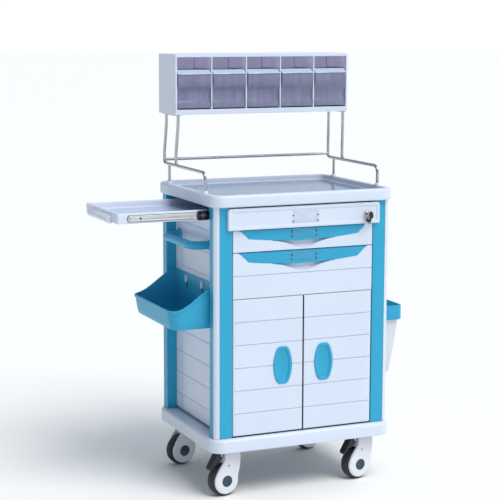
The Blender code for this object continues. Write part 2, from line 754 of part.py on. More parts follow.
def make_rail(cart):
    """Guard rail: two bent side tubes with rear feet, and a crossbar between their ends."""
    thin = RAIL_R - 0.0002
    shape = join(side_tube(-RAIL_X, RAIL_R), side_tube(RAIL_X, RAIL_R),
                 rod(thin, "x", -RAIL_X, RAIL_X, (RAIL_BACK, RAIL_Z + CROSSBAR_RISE), 10))
    for side in (-1, 1):
        foot = rod(thin, "z", TOP_TOP + FIT, RAIL_Z, (side * RAIL_X, RAIL_FOOT), 10)
        shape = join(shape, foot)
    node("guard_rail", shape, STAINLESS, cart, smooth=True)


def make_stands(cart):
    """Two frames of two legs each, from the guard rail up to the bin cabinet."""
    top = BIN_BOTTOM - FIT
    h, front, back = STAND_BAR_W / 2, LEG_FRONT - LEG_LEAN, RAIL_BACK - LEG_LEAN
    for name, side in (("bin_stand_left", -1), ("bin_stand_right", 1)):
        foot_x, top_x = side * RAIL_X, side * LEG_TOP_X
        shape = block(top_x - h, top_x + h, front - h, back + 2 * h, top - STAND_BAR_T, top)
        for y, start in ((LEG_FRONT, RAIL_Z), (RAIL_BACK, RAIL_Z + RAIL_END + FIT)):
            leg = tube([(foot_x, y, start), (foot_x, y, RAIL_Z + 0.040),
                        (top_x, y - LEG_LEAN, top - 0.030),
                        (top_x, y - LEG_LEAN, top - STAND_BAR_T / 2)], RAIL_R)
            shape = join(shape, leg)
        shape = cut(shape, side_tube(foot_x, RAIL_R + FIT))
        node(name, shape, STAINLESS, cart, smooth=True)


def pocket_pitch():
    """Width of one pocket with one divider."""
    return (BIN_W - 2 * BIN_SKIN + BIN_DIVIDER) / BIN_COUNT


def make_bin_cabinet(cart):
    """Housing with one pocket for each tilt bin."""
    x = BIN_W / 2
    shape = block(-x, x, BIN_FRONT, BIN_FRONT + BIN_D, BIN_BOTTOM, BIN_BOTTOM + BIN_H)
    pitch = pocket_pitch()
    for n in range(BIN_COUNT):
        left = -x + BIN_SKIN + n * pitch
        pocket = block(left, left + pitch - BIN_DIVIDER, BIN_FRONT - 0.01,
                       BIN_FRONT + BIN_D - BIN_SKIN, BIN_BOTTOM + BIN_SILL,
                       BIN_BOTTOM + BIN_H - BIN_HEAD)
        shape = cut(shape, pocket)
    node("bin_cabinet", shape, WHITE, cart)


def bin_front(inset):
    """Front edge of a tilt bin, bottom to top, as (y, z) from its lower front corner."""
    steps = 9
    points = []
    for k in range(steps):
        t = k / (steps - 1)
        wave = 0.0055 * math.sin(2 * math.pi * (t - 0.10)) * min(1.0, 4 * t)
        points.append((0.006 + wave + inset, BIN_LIP_H * t * 0.86))
    return points + [(0.001 + inset, BIN_LIP_H * 0.88), (0.010 + inset, BIN_LIP_H)]


def make_bins(cart):
    """Clear tilt bins, each pivoting near its lower front edge."""
    pitch = pocket_pitch()
    width = pitch - BIN_DIVIDER - 2 * CUP_GAP
    base = BIN_BOTTOM + BIN_SILL + 0.004
    front = BIN_FRONT + 0.001
    t = BIN_CUP_WALL

    def outline(inset, open_top):
        depth = BIN_CUP_D - inset
        points = [(depth - 0.006, BIN_LIP_H * 0.86)]
        if open_top:
            points.append((depth - 0.006, BIN_LIP_H + 0.02))
        edge = bin_front(inset)
        edge[0] = (edge[0][0], inset)
        if open_top:
            edge.append((edge[-1][0], BIN_LIP_H + 0.02))
        return [(front + y, base + z) for y, z in edge + points[::-1] + [(depth, inset)]]
    for n in range(BIN_COUNT):
        left = -BIN_W / 2 + BIN_SKIN + n * pitch + CUP_GAP
        shape = prism(outline(0.0, False), "x", left, left + width)
        shape = cut(shape, prism(outline(t, True), "x", left + t, left + width - t))
        at = (left + width / 2, front + BIN_PIVOT_IN, base - 0.004 + BIN_PIVOT_UP)
        pivot = empty(f"bin_{n + 1}_pivot", at, cart)
        hang(f"tilt_bin_{n + 1}", shape, CLEAR, pivot, at)


# ---------------------------------------------------------------- side fittings
def make_push_handle(cart):
    """Bent push bar on the left panel with a round foot at each end."""
    wall = -PANEL_X - FIT
    out = -PANEL_X - HANDLE_OUT
    y0, y1, z = HANDLE_Y - HANDLE_SPAN / 2, HANDLE_Y + HANDLE_SPAN / 2, HANDLE_Z
    spots = [(wall, y0, z), (out, y0, z), (out, y1, z), (wall, y1, z)]
    points = [Vector(spots[0])]
    points += bend(spots[1], spots[0], spots[2], HANDLE_BEND)
    points += bend(spots[2], spots[1], spots[3], HANDLE_BEND) + [Vector(spots[3])]
    shape = tube(points, HANDLE_R, 3)
    for y in (y0, y1):
        shape = join(shape, rod(ROSETTE_R, "x", wall - ROSETTE_T, wall, (y, z), 20))
    node("push_handle", shape, BLUE, cart, smooth=True)


def basket_rim(x):
    """Height of the basket's rim: low along the outer side, rising in an S to the panel."""
    t = (x + PANEL_X + BASKET_DEPTH) / BASKET_DEPTH
    t = min(1.0, max(0.0, (t - 0.08) / 0.92))
    return BASKET_LOW + (BASKET_HIGH - BASKET_LOW) * t * t * (3 - 2 * t)


def make_basket(cart):
    """Open side basket hung on the left panel."""
    x0, x1 = -PANEL_X - BASKET_DEPTH, -PANEL_X - FIT

    def level(inset, taper, height):
        r = BASKET_CORNER - inset
        small = 0.006
        plan = rounded(x0 + inset + taper, x1 - inset, BASKET_FRONT + inset + taper * 0.6,
                       BASKET_BACK - inset - taper * 0.6, (r, small, small, r))
        return [(x, y, height(x)) for x, y in plan]
    floor = BASKET_BOTTOM
    mid = BASKET_TAPER * 0.3
    loops = [level(0.006, BASKET_TAPER, lambda x: floor),
             level(0.0, BASKET_TAPER, lambda x: floor + 0.006),
             level(0.0, 0.0, basket_rim), level(BASKET_WALL, 0.0, basket_rim),
             level(BASKET_WALL, BASKET_TAPER, lambda x: floor + 0.008),
             level(BASKET_WALL + mid, BASKET_TAPER, lambda x: floor + BASKET_WALL)]
    node("side_basket", loft(loops), BLUE, cart)


def waste_level(inset, z):
    """One level of the waste holder's outline."""
    x1 = WASTE_REACH - inset
    x0 = BODY_W / 2 + WASTE_GAP + inset
    y = WASTE_W / 2 - inset
    r = max(WASTE_CORNER - inset, 0.006)
    return [(a, b, z) for a, b in rounded(x0, x1, -y, y, (r, r, r, r))]


def make_waste(cart):
    """Waste holder: a collar on a bracket, and a bucket that drops into it."""
    low, high = WASTE_TOP - WASTE_COLLAR_H, WASTE_TOP
    inner = WASTE_WALL + WASTE_LEDGE
    ring = loft([waste_level(0.0, low), waste_level(0.0, high), waste_level(WASTE_WALL, high),
                 waste_level(WASTE_WALL, low + 0.003), waste_level(inner, low + 0.003),
                 waste_level(inner, low)], ring=True)
    arm = block(PANEL_X + FIT, BODY_W / 2 + WASTE_GAP + WASTE_WALL / 2, -0.055, 0.055,
                low + 0.006, high - 0.006)
    node("waste_collar", join(ring, arm), BLUE, cart)
    seat = low + 0.003 + FIT
    lip, skin = WASTE_WALL + 0.0008, WASTE_SKIN
    wall = inner + 0.0008
    bottom = seat - WASTE_BUCKET_H
    loops = [waste_level(wall + WASTE_TAPER, bottom), waste_level(wall, seat),
             waste_level(lip, seat), waste_level(lip, seat + 0.003),
             waste_level(wall + skin, seat + 0.003),
             waste_level(wall + skin + WASTE_TAPER, bottom + skin)]
    at = ((BODY_W / 2 + WASTE_REACH) / 2, 0.0, seat)
    lift = empty("waste_bucket_lift", at, cart)
    hang("waste_bucket", loft(loops), WHITE, lift, at)


# ---------------------------------------------------------------- casters
def housing_outline():
    """Side view (x, z) of a caster's housing: a disc around the axle drawn up into a head."""
    top = PLATE_BOTTOM - SWIVEL_GAP
    points = [(HEAD_HALF, top), (-HEAD_HALF + 0.002, top), (-HEAD_HALF, 0.112)]
    arc = 16
    for k in range(arc + 1):
        a = math.radians(146 + k * (350 - 146) / arc)
        points.append((-CASTER_TRAIL + HOUSING_R * math.cos(a),
                       WHEEL_R + HOUSING_R * math.sin(a)))
    return points + [(HEAD_HALF, WHEEL_R * 2)]


def make_caster(cart, name, side, rear):
    """Swivel housing with its axle, the wheel, and a brake pedal on the front ones."""
    turn = empty(f"caster_{name}_swivel", (side * CASTER_X, rear * CASTER_Y, 0.0), cart,
                 CASTER_YAW)
    h = HOUSING_W / 2
    housing = prism(housing_outline(), "y", -h, h)
    centre = (-CASTER_TRAIL, WHEEL_R)
    slot = WHEEL_W / 2 + 0.0015
    housing = cut(housing, rod(WHEEL_R + WHEEL_CLEAR, "y", -slot, slot, centre, 32))
    housing = join(housing, rod(AXLE_R, "y", -h + 0.001, h - 0.001, centre, 12))
    node(f"caster_housing_{name}", housing, WHITE, turn)
    axle = (-CASTER_TRAIL, 0.0, WHEEL_R)
    spin = empty(f"wheel_{name}_spin", axle, turn)
    w, r = WHEEL_W / 2, WHEEL_R
    bore = AXLE_R + AXLE_CLEAR
    profile = [(bore, -w), (r - 0.010, -w), (r - 0.004, -w + 0.002), (r, -w + 0.010),
               (r, w - 0.010), (r - 0.004, w - 0.002), (r - 0.010, w), (bore, w)]
    node(f"wheel_{name}", turned(profile, 32, ring=True), TYRE, spin, smooth=True)
    if rear < 0:
        make_pedal(turn, name)


def make_pedal(turn, name):
    """Brake pedal on the trailing side of the housing's head, drawn back below its pivot."""
    root = -HEAD_HALF - SWIVEL_GAP
    top = PLATE_BOTTOM - 2 * SWIVEL_GAP
    outline = [(root, top - 0.005), (root, top - 0.016), (root - 0.0055, top - 0.027),
               (root - 0.024, top - 0.034), (root - 0.045, top - 0.055),
               (root - 0.047, top - 0.046), (root - 0.018, top), (root - 0.005, top)]
    at = (root - 0.005, 0.0, top - 0.012)
    press = empty(f"brake_{name}_press", at, turn)
    shape = prism(outline, "y", -PEDAL_W / 2, PEDAL_W / 2)
    hang(f"brake_pedal_{name}", shape, BLACK, press, at)


# ---------------------------------------------------------------- assembly
clear_scene()
WHITE = material("white_abs", (0.76, 0.82, 0.90), 0.35)
BLUE = material("blue_abs", (0.06, 0.42, 0.67), 0.35)
GREY = material("grey_abs", (0.60, 0.66, 0.72), 0.45)
CLEAR = material("clear_smoke", (0.30, 0.30, 0.45), 0.15, alpha=0.6)
STEEL = material("zinc_steel", (0.45, 0.46, 0.48), 0.40, 1.0)
STAINLESS = material("stainless", (0.70, 0.71, 0.73), 0.22, 1.0)
CHROME = material("chrome", (0.80, 0.80, 0.82), 0.10, 1.0)
BLACK = material("black_nylon", (0.02, 0.02, 0.025), 0.45)
TYRE = material("tyre_rubber", (0.03, 0.03, 0.035), 0.60)

CART = empty("cart", (-CENTRE_X, -CENTRE_Y, 0.0))
LEVELS = box_levels()
make_base(CART)
make_underframe(CART)
make_posts(CART)
make_worktop(CART)
make_panels(CART)
make_divider(CART)
make_runners(CART)
make_top_drawer(CART, LEVELS[0])
make_drawer(CART, 2, DRAWER_3_TOP, FRONTS_TOP, LEVELS[1])
make_drawer(CART, 3, DOOR_TOP, DRAWER_3_TOP, LEVELS[2])
make_door(CART, "left", -1)
make_door(CART, "right", 1)
make_shelf(CART)
make_rail(CART)
make_stands(CART)
make_bin_cabinet(CART)
make_bins(CART)
make_push_handle(CART)
make_basket(CART)
make_waste(CART)
for corner, left_right, front_back in (("front_left", -1, -1), ("front_right", 1, -1),
                                       ("back_left", -1, 1), ("back_right", 1, 1)):
    make_caster(CART, corner, left_right, front_back)
bpy.context.view_layer.update()
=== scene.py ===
"""Looks of the crash cart: moulded panels, bent steel tube, clear tilt bins and casters.

Metres, Z up, floor at z = 0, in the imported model's own frame.
"""
import json
import math

import bmesh
import bpy
import numpy as np
from mathutils import Matrix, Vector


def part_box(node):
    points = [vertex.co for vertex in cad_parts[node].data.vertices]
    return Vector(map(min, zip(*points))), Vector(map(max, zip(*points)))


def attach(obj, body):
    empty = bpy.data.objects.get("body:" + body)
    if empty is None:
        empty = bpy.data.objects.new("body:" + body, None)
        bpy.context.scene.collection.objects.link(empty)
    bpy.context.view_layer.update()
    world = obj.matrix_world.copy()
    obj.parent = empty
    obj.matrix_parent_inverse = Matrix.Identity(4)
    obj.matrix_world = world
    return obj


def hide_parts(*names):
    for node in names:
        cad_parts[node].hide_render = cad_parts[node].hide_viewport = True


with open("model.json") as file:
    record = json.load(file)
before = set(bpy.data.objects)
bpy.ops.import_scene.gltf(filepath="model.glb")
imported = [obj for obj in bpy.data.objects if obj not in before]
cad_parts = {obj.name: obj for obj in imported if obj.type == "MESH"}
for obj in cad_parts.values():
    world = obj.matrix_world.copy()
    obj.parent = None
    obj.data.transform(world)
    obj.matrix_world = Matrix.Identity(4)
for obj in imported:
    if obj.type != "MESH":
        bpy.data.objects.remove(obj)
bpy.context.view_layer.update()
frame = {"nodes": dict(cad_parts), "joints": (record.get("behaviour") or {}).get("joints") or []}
NODES = frame["nodes"]
JOINTS = {joint["name"]: joint for joint in frame["joints"]}


def corners(node):
    """Lowest and highest corner of a CAD node, as arrays."""
    low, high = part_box(node)
    return np.array(low), np.array(high)


POST_LOW = corners("post_front_left")[0]
POST_RIGHT = corners("post_front_right")[1]
MID_X = (POST_LOW[0] + POST_RIGHT[0]) / 2          # middle of the cart's body, left to right
MID_Y = (POST_LOW[1] + corners("post_back_left")[1][1]) / 2
MODULE = 0.0722                                    # height of one slat
FIRST_LINE = 0.1945                                # lowest slat line
GROOVE = 0.0024                                    # width of a slat line


# ---------------------------------------------------------------- materials
class Value:
    """A socket's value: arithmetic on it adds Math nodes to its finish."""

    def __init__(self, finish, socket):
        self.finish, self.socket = finish, socket

    def math(self, operation, other):
        """The result of one Math node on this value and another."""
        return self.finish.add("Math", {"operation": operation}, {0: self, 1: other})

    def __add__(self, other):
        return self.math("ADD", other)

    def __mul__(self, other):
        return self.math("MULTIPLY", other)

    def above(self, edge):
        """1 where this value is over the edge, else 0."""
        return self.math("GREATER_THAN", edge)

    __radd__, __rmul__ = __add__, __mul__


class Finish:
    """One material: a Principled shader and the nodes that feed it."""

    def __init__(self, name, colour, roughness, metallic=0.0, **fixed):
        self.material = bpy.data.materials.new(name)
        self.material.use_nodes = True
        self.tree = self.material.node_tree
        self.inputs = self.tree.nodes["Principled BSDF"].inputs
        self.colour, self.roughness = colour, roughness
        self.set("Base Color", colour)
        self.set("Roughness", roughness)
        self.set("Metallic", metallic)
        for key, value in fixed.items():
            self.set(key.replace("_", " ").title().replace("Ior", "IOR"), value)
        self.place = self.add("TexCoord", output="Object")

    def set(self, name, value):
        """Gives one of the shader's own sockets a value or a link."""
        self.join(self.inputs[name], value)

    def join(self, socket, value):
        """A link where the value comes from a node, else a constant."""
        if isinstance(value, Value):
            self.tree.links.new(value.socket, socket)
        elif isinstance(value, tuple) and len(socket.default_value) == 4:
            socket.default_value = (*value[:3], 1.0)
        else:
            socket.default_value = value

    def add(self, kind, settings=None, values=None, output=0):
        """A node: its settings first, then the values or links of its sockets."""
        node = self.tree.nodes.new("ShaderNode" + kind)
        for key, value in (settings or {}).items():
            setattr(node, key, value)
        for key, value in (values or {}).items():
            self.join(node.inputs[key], value)
        return Value(self, node.outputs[output])

    def noise(self, scale, stretch=(1.0, 1.0, 1.0), detail=3.0):
        """Noise over the piece, of so many waves a metre, finer along the stretched axes."""
        place = self.add("Mapping", {}, {"Vector": self.place, "Scale": stretch})
        return self.add("TexNoise", {}, {"Vector": place, "Scale": scale, "Detail": detail})

    def blend(self, share, colour, other):
        """The first colour where share is 0, the other where it is 1."""
        return self.add("Mix", {"data_type": "RGBA"}, {0: share, 6: colour, 7: other}, 2)

    def bump(self, height, depth):
        """Relief of so many metres from a height between 0 and 1."""
        self.set("Normal", self.add("Bump", {}, {"Strength": 1.0, "Distance": depth, "Height": height}))


def tone(colour, factor):
    """A colour made lighter or darker."""
    return tuple(min(1.0, part * factor) for part in colour)


def moulded(name, colour, roughness, grain=0.00006, **fixed):
    """Injection-moulded plastic: fine pebbled grain, faint flow clouds and handling marks."""
    made = Finish(name, colour, roughness, **fixed)
    cloud = made.noise(5.0, detail=2.0)
    made.set("Base Color", made.blend(cloud, tone(colour, 0.955), tone(colour, 1.035)))
    rub = made.noise(38.0, (1.0, 1.0, 2.5))
    made.set("Roughness", rub * 0.14 + (roughness - 0.07))
    made.bump(made.noise(1400.0, detail=1.0), grain)
    return made.material


def drawn_metal(name, colour, roughness, along):
    """Brushed or drawn metal: hair lines along one axis, and cloudy tarnish."""
    made = Finish(name, colour, roughness, 1.0)
    lines = made.noise(900.0, tuple(0.03 if axis == along else 1.0 for axis in range(3)))
    stain = made.noise(14.0)
    made.set("Base Color", made.blend(stain, tone(colour, 0.86), tone(colour, 1.08)))
    made.set("Roughness", lines * 0.16 + stain * 0.08 + (roughness - 0.12))
    made.bump(lines, 0.00003)
    return made.material


def smoked_clear(lip):
    """Clear smoked styrene: faint streaks from top to bottom, and painted highlight: a paler, more opaque
    band above a height, for light on the sloped lip.
    """
    colour = (0.225, 0.235, 0.365)
    made = Finish("smoked_clear", colour, 0.13, coat_weight=0.4, coat_roughness=0.06)
    streak = made.noise(60.0, (1.0, 1.0, 0.04), 4.0)
    body = made.blend(streak, tone(colour, 0.78), tone(colour, 1.3))
    height = made.add("SeparateXYZ", {}, {0: made.place}, 2)
    # Painted highlight: a paler colour above the lip height, for light falling on the sloped lip band.
    made.set("Base Color", made.blend(height.above(lip), body, (0.50, 0.57, 0.74)))
    made.set("Alpha", height.above(lip) * 0.22 + (streak * 0.10 + 0.70))
    made.bump(made.noise(90.0, (1.0, 1.0, 0.1)), 0.00008)
    return made.material


def tyre_rubber():
    """Dark rubber with a fine scuffed bloom."""
    made = Finish("tyre_rubber", (0.018, 0.020, 0.026), 0.62)
    scuff = made.noise(160.0)
    made.set("Base Color", made.blend(scuff, (0.012, 0.013, 0.018), (0.035, 0.038, 0.048)))
    made.set("Roughness", scuff * 0.25 + 0.48)
    made.bump(made.noise(700.0), 0.00012)
    return made.material


WHITE_COLOUR = (0.645, 0.715, 0.84)
BLUE_COLOUR = (0.030, 0.365, 0.590)
WHITE = moulded("white_moulding", WHITE_COLOUR, 0.34)
BLUE = moulded("blue_moulding", BLUE_COLOUR, 0.36, specular_ior_level=0.3)
STRIP_WHITE = moulded("white_corner_strip", (0.66, 0.71, 0.83), 0.22, coat_weight=0.3)
TRAY_MAT = moulded("worktop_mat", (0.120, 0.205, 0.380), 0.16, 0.00003, coat_weight=0.2)
GREY = moulded("grey_drawer_lining", (0.50, 0.56, 0.65), 0.48)
COVER_WHITE = moulded("caster_cover_white", (0.72, 0.74, 0.79), 0.20, 0.00002, coat_weight=0.3)
HUB_BLUE = moulded("hub_cap_blue", (0.020, 0.045, 0.085), 0.30)
BLACK = moulded("black_nylon", (0.014, 0.015, 0.019), 0.42, 0.00010)
# Painted shade: near-black strips stand in for the shade in the gap between the two doors.
GAP_SHADE = moulded("dark_seal", (0.035, 0.036, 0.075), 0.60)
SMOKED = smoked_clear(corners("tilt_bin_1")[0][2] + 0.1085)
# Painted light: the pocket lining is paler than the pockets' shade and glows by emission, to brighten the
# pockets.
POCKET_GLOW = moulded("bin_lining", (0.33, 0.32, 0.44), 0.30, emission_color=(0.30, 0.29, 0.42),
                     emission_strength=0.62)
LABEL_CLEAR = moulded("label_window", (0.36, 0.42, 0.52), 0.10, 0.00001, alpha=0.10)
# Painted shade: a darker blue for the deep part of the door cups, standing in for the shade inside them.
CUP_SHADE_BLUE = moulded("finger_well_blue", (0.036, 0.27, 0.44), 0.36)
# Painted shade: a darker, bluer tone for the side shelf's white recess floor.
SHELF_FLOOR_SHADE = moulded("side_shelf_mat", (0.46, 0.56, 0.78), 0.22, 0.00003)
TUBE_STEEL = drawn_metal("stainless_tube", (0.46, 0.47, 0.50), 0.26, 2)
RAIL_STEEL = drawn_metal("slide_rail_steel", (0.66, 0.68, 0.68), 0.34, 0)
ZINC = drawn_metal("zinc_sheet", (0.30, 0.31, 0.34), 0.46, 1)
CHROME = drawn_metal("lock_chrome", (0.55, 0.52, 0.50), 0.18, 1)
TYRE = tyre_rubber()


# ---------------------------------------------------------------- surfaces
def arc(start, stop, steps):
    """Cosines and sines of even turns between two angles in degrees."""
    turn = np.radians(np.linspace(start, stop, steps))
    return np.cos(turn), np.sin(turn)


def piece(name, body, finish, shapes, replaced=(), angle=38.0):
    """One object from (points, faces) pairs, riding on a body, for the CAD nodes it replaces."""
    points, faces, offset = [], [], 0
    for spots, sides in shapes:
        points.append(spots.reshape(-1, 3))
        faces += [[k + offset for k in side] for side in sides]
        offset += len(points[-1])
    mesh = bpy.data.meshes.new(name)
    mesh.from_pydata(np.concatenate(points).tolist(), [], faces)
    worked = bmesh.new()
    worked.from_mesh(mesh)
    bmesh.ops.remove_doubles(worked, verts=worked.verts, dist=1e-6)
    bmesh.ops.recalc_face_normals(worked, faces=worked.faces)
    worked.to_mesh(mesh)
    worked.free()
    return shown(name, body, finish, mesh, replaced, angle)


def shown(name, body, finish, mesh, replaced=(), angle=38.0):
    """Puts a finished mesh in the scene as a piece."""
    mesh.materials.clear()
    mesh.materials.append(finish)
    mesh.shade_smooth()
    mesh.set_sharp_from_angle(angle=math.radians(angle))
    made = bpy.data.objects.new(name, mesh)
    bpy.context.scene.collection.objects.link(made)
    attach(made, body)
    if replaced:
        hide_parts(*replaced)
    return made


def skin(points, ends=True, around=True, ring=False):
    """Quads between neighbouring rows and columns of a grid of points.

    Columns close on themselves when around is set, rows when ring is; ends caps both ends.
    """
    rows, columns = points.shape[:2]
    index = np.arange(rows * columns).reshape(rows, columns)
    if around:
        index = np.concatenate([index, index[:, :1]], 1)
    if ring:
        index = np.concatenate([index, index[:1]], 0)
    quads = np.stack([index[:-1, :-1], index[:-1, 1:], index[1:, 1:], index[1:, :-1]], -1)
    faces = quads.reshape(-1, 4).tolist()
    if ends and around and not ring:
        faces += [index[0, :-1][::-1].tolist(), index[-1, :-1].tolist()]
    return points, faces


def oblong(low, high, radii, edge=2, bend=8):
    """Outline of a rectangle with round corners, counter-clockwise from its lower left corner.

    Each corner is a quarter circle of its own radius; each side has the same count of points.
    """
    low, high = np.asarray(low, float), np.asarray(high, float)
    radii = np.broadcast_to(radii, 4)
    signs = np.array([(1, 1), (-1, 1), (-1, -1), (1, -1)])
    anchor = np.array([low, (high[0], low[1]), high, (low[0], high[1])])
    rounds = []
    for n in range(4):
        c, s = arc(180 + 90 * n, 270 + 90 * n, bend)
        rounds.append(anchor[n] + signs[n] * radii[n] + radii[n] * np.stack([c, s], -1))
    share = np.linspace(0, 1, edge + 1)[1:-1, None]
    parts = []
    for n in range(4):
        parts += [rounds[n], rounds[n][-1] * (1 - share) + rounds[(n + 1) % 4][0] * share]
    return np.concatenate(parts)


def levels(low, high, radius, steps, edge=2, bend=8, least=0.0015):
    """Stacked oblong outlines: each step is (inset, height), the height a number or a function
    of the outline's points; every inset draws all four sides in and makes the corners tighter."""
    loops = []
    for inset, height in steps:
        radii = np.maximum(np.broadcast_to(radius, 4) - inset, least)
        flat = oblong(np.add(low, inset), np.subtract(high, inset), radii, edge, bend)
        z = height(flat) if callable(height) else np.full(len(flat), height)
        loops.append(np.column_stack([flat, z]))
    return np.array(loops)


def fillet(inset, z, radius, start, stop, steps=6):
    """Steps (inset, height) of a quarter round about a centre."""
    c, s = arc(start, stop, steps)
    return list(zip(inset + radius * c, z + radius * s))


def turned(profile, centre, axis, steps=48):
    """A profile of (radius, place along the axis) turned about an axis through a centre."""
    profile = np.asarray(profile, float)
    axis = np.asarray(axis, float) / np.linalg.norm(axis)
    side = np.cross(axis, (0.0, 0.0, 1.0) if abs(axis[2]) < 0.9 else (1.0, 0.0, 0.0))
    side /= np.linalg.norm(side)
    c, s = arc(0, 360 * (1 - 1 / steps), steps)
    spoke = c[:, None] * side + s[:, None] * np.cross(axis, side)
    return np.asarray(centre) + profile[:, :1, None] * spoke + profile[:, 1:, None] * axis


def corner_curve(before, here, after, reach, steps):
    """Quadratic curve round one corner of a polyline, over a reach on each side of it.

    It starts at a, ends at b and is drawn to the corner: (1 - t)^2 a + 2 t (1 - t) here + t^2 b.
    """
    a, b = before - here, after - here
    a, b = here + a / np.linalg.norm(a) * reach, here + b / np.linalg.norm(b) * reach
    t = np.linspace(0, 1, steps)[:, None]
    return (1 - t) ** 2 * a + 2 * t * (1 - t) * here + t ** 2 * b


def bar(path, radius, around=16):
    """A round bar along a path: at each point a circle stands square to the path.

    The circle's frame is carried from point to point, less its part along the new direction.
    """
    path = np.asarray(path, float)
    ahead = np.gradient(path, axis=0)
    ahead /= np.linalg.norm(ahead, axis=1)[:, None]
    side = np.cross(ahead[0], (0.31, 0.84, 0.44))
    sides = []
    for step in ahead:
        side = side - step * (side @ step)
        side = side / np.linalg.norm(side)
        sides.append(side)
    sides = np.array(sides)
    ups = np.cross(ahead, sides)
    c, s = arc(0, 360 * (1 - 1 / around), around)
    radius = np.broadcast_to(radius, len(path))[:, None, None]
    return path[:, None] + radius * (c[:, None] * sides[:, None] + s[:, None] * ups[:, None])


def relief(u, v, depth, to_world, back):
    """A slab whose front follows a depth worked out at every point of a grid, with flat sides.

    The border of the grid is carried back to the given depth and closed by one flat face.
    """
    u = np.concatenate([u[:1], u, u[-1:]])
    v = np.concatenate([v[:1], v, v[-1:]])
    across, up = np.meshgrid(u, v)
    sunk = depth(across, up)
    sunk[0], sunk[-1], sunk[:, 0], sunk[:, -1] = back, back, back, back
    points = to_world(across, sunk, up)
    points, faces = skin(points, around=False)
    rows, columns = across.shape
    index = np.arange(rows * columns).reshape(rows, columns)
    border = [*index[0, :-1], *index[:-1, -1], *index[-1, :0:-1], *index[:0:-1, 0]]
    return points, faces + [[int(k) for k in border[::-1]]]


def spaced(low, high, step, extra=()):
    """Even places between two ends, finer in the last millimetres, with extra places added."""
    even = np.linspace(low, high, max(2, int(round((high - low) / step))))
    rim = np.array([0.0004, 0.0009, 0.0016, 0.0025])
    return np.unique(np.concatenate([even, low + rim, high - rim, np.asarray(extra, float)]))


def edge_drop(u, v, ends, radius=0.0016):
    """Depth that rounds the border off: radius less the height of a quarter circle."""
    (u0, u1), (v0, v1) = ends
    near = np.minimum(np.minimum(u - u0, u1 - u), np.minimum(v - v0, v1 - v))
    inside = np.clip(near / radius, 0, 1)
    return radius * (1 - np.sqrt(1 - (1 - inside) ** 2))


def slat_lines(z, skip_low, skip_high, first=FIRST_LINE, deep=0.0030):
    """Depth of the slat lines at each module, none at the panel's own ends.

    With away as the distance from the line over half its width, the depth is deep times the
    square root of (1.15 - away), held between 0 and 1: a steep V.
    """
    line = first + np.round((z - first) / MODULE) * MODULE
    away = np.abs(z - line) / (GROOVE / 2)
    live = (line > skip_low + 0.004) & (line < skip_high - 0.004)
    return np.where(live, deep * np.clip(1.15 - away, 0, 1) ** 0.5, 0.0)


def line_places(low, high, first=FIRST_LINE):
    """Grid places that catch each slat line's shape."""
    lines = first + MODULE * np.arange(11)
    lines = lines[(lines > low + 0.004) & (lines < high - 0.004)]
    return (lines[:, None] + GROOVE / 2 * np.array([-1.3, -1, -0.5, 0, 0.5, 1, 1.3])).ravel()


def eased(node, body, finish, width, angle=30.0, segments=3):
    """A CAD node's own shape with its flat faces merged and its edges rounded."""
    mesh = NODES[node].data.copy()
    worked = bmesh.new()
    worked.from_mesh(mesh)
    bmesh.ops.remove_doubles(worked, verts=worked.verts, dist=1e-6)
    bmesh.ops.dissolve_limit(worked, angle_limit=math.radians(1.0), verts=worked.verts,
                             edges=worked.edges)
    worked.to_mesh(mesh)
    worked.free()
    made = shown(node + "_shell", body, finish, mesh, [node])
    step = made.modifiers.new("edges", "BEVEL")
    step.width, step.segments, step.limit_method = width, segments, "ANGLE"
    step.angle_limit = math.radians(angle)
    step.harden_normals = False
    return made


def drawn_in(outline, inset):
    """A closed outline moved inwards, each point along the normal of its two neighbours."""
    run = np.roll(outline, -1, 0) - np.roll(outline, 1, 0)
    run /= np.linalg.norm(run, axis=1)[:, None]
    area = np.sum(outline[:, 0] * np.roll(outline[:, 1], -1) - np.roll(outline[:, 0], -1) * outline[:, 1])
    return outline + np.sign(area) * inset * np.stack([-run[:, 1], run[:, 0]], -1)


def plate(outline, steps, to_world):
    """A closed outline carried through steps of (inset, depth), and set in the world."""
    rows = [np.column_stack([drawn_in(outline, inset), np.full(len(outline), depth)])
            for inset, depth in steps]
    rows = np.array(rows)
    return skin(to_world(rows[..., 0], rows[..., 2], rows[..., 1]))


def rounded_off(points, radius, steps=6):
    """A closed polygon with every corner rounded."""
    points = np.asarray(points, float)
    radius = np.broadcast_to(radius, len(points))
    out = []
    for before, here, after, r in zip(np.roll(points, 1, 0), points, np.roll(points, -1, 0), radius):
        reach = min(r, np.linalg.norm(before - here) * 0.48, np.linalg.norm(after - here) * 0.48)
        out.append(corner_curve(before, here, after, reach, steps))
    return np.concatenate(out)


def facing(y=0.0, sign=1.0):
    """Places (across, depth, up) on a front: x, then y going in from the face, then z."""
    return lambda u, d, v: np.stack([u, y + sign * d, v], -1)


def sideways(x=0.0, sign=1.0):
    """Places (along, depth, up) on a side: x going in from the face, then y, then z."""
    return lambda u, d, v: np.stack([x + sign * d, u, v], -1)


def edge_steps(depth, radius, steps=5):
    """Steps for plate: flat back, straight wall, and a quarter round to the front at depth 0."""
    c, s = arc(180, 90, steps)
    return [(0.0, depth)] + [(radius + radius * a, radius - radius * b) for a, b in zip(c, s)]


# ---------------------------------------------------------------- base tray and worktop
def slab_wall(z0, z1, low_round, top_round):
    """Steps of a slab's rounded outer wall, bottom to top."""
    return (fillet(low_round, z0 + low_round, low_round, 270, 180)
            + fillet(top_round, z1 - top_round, top_round, 180, 90))


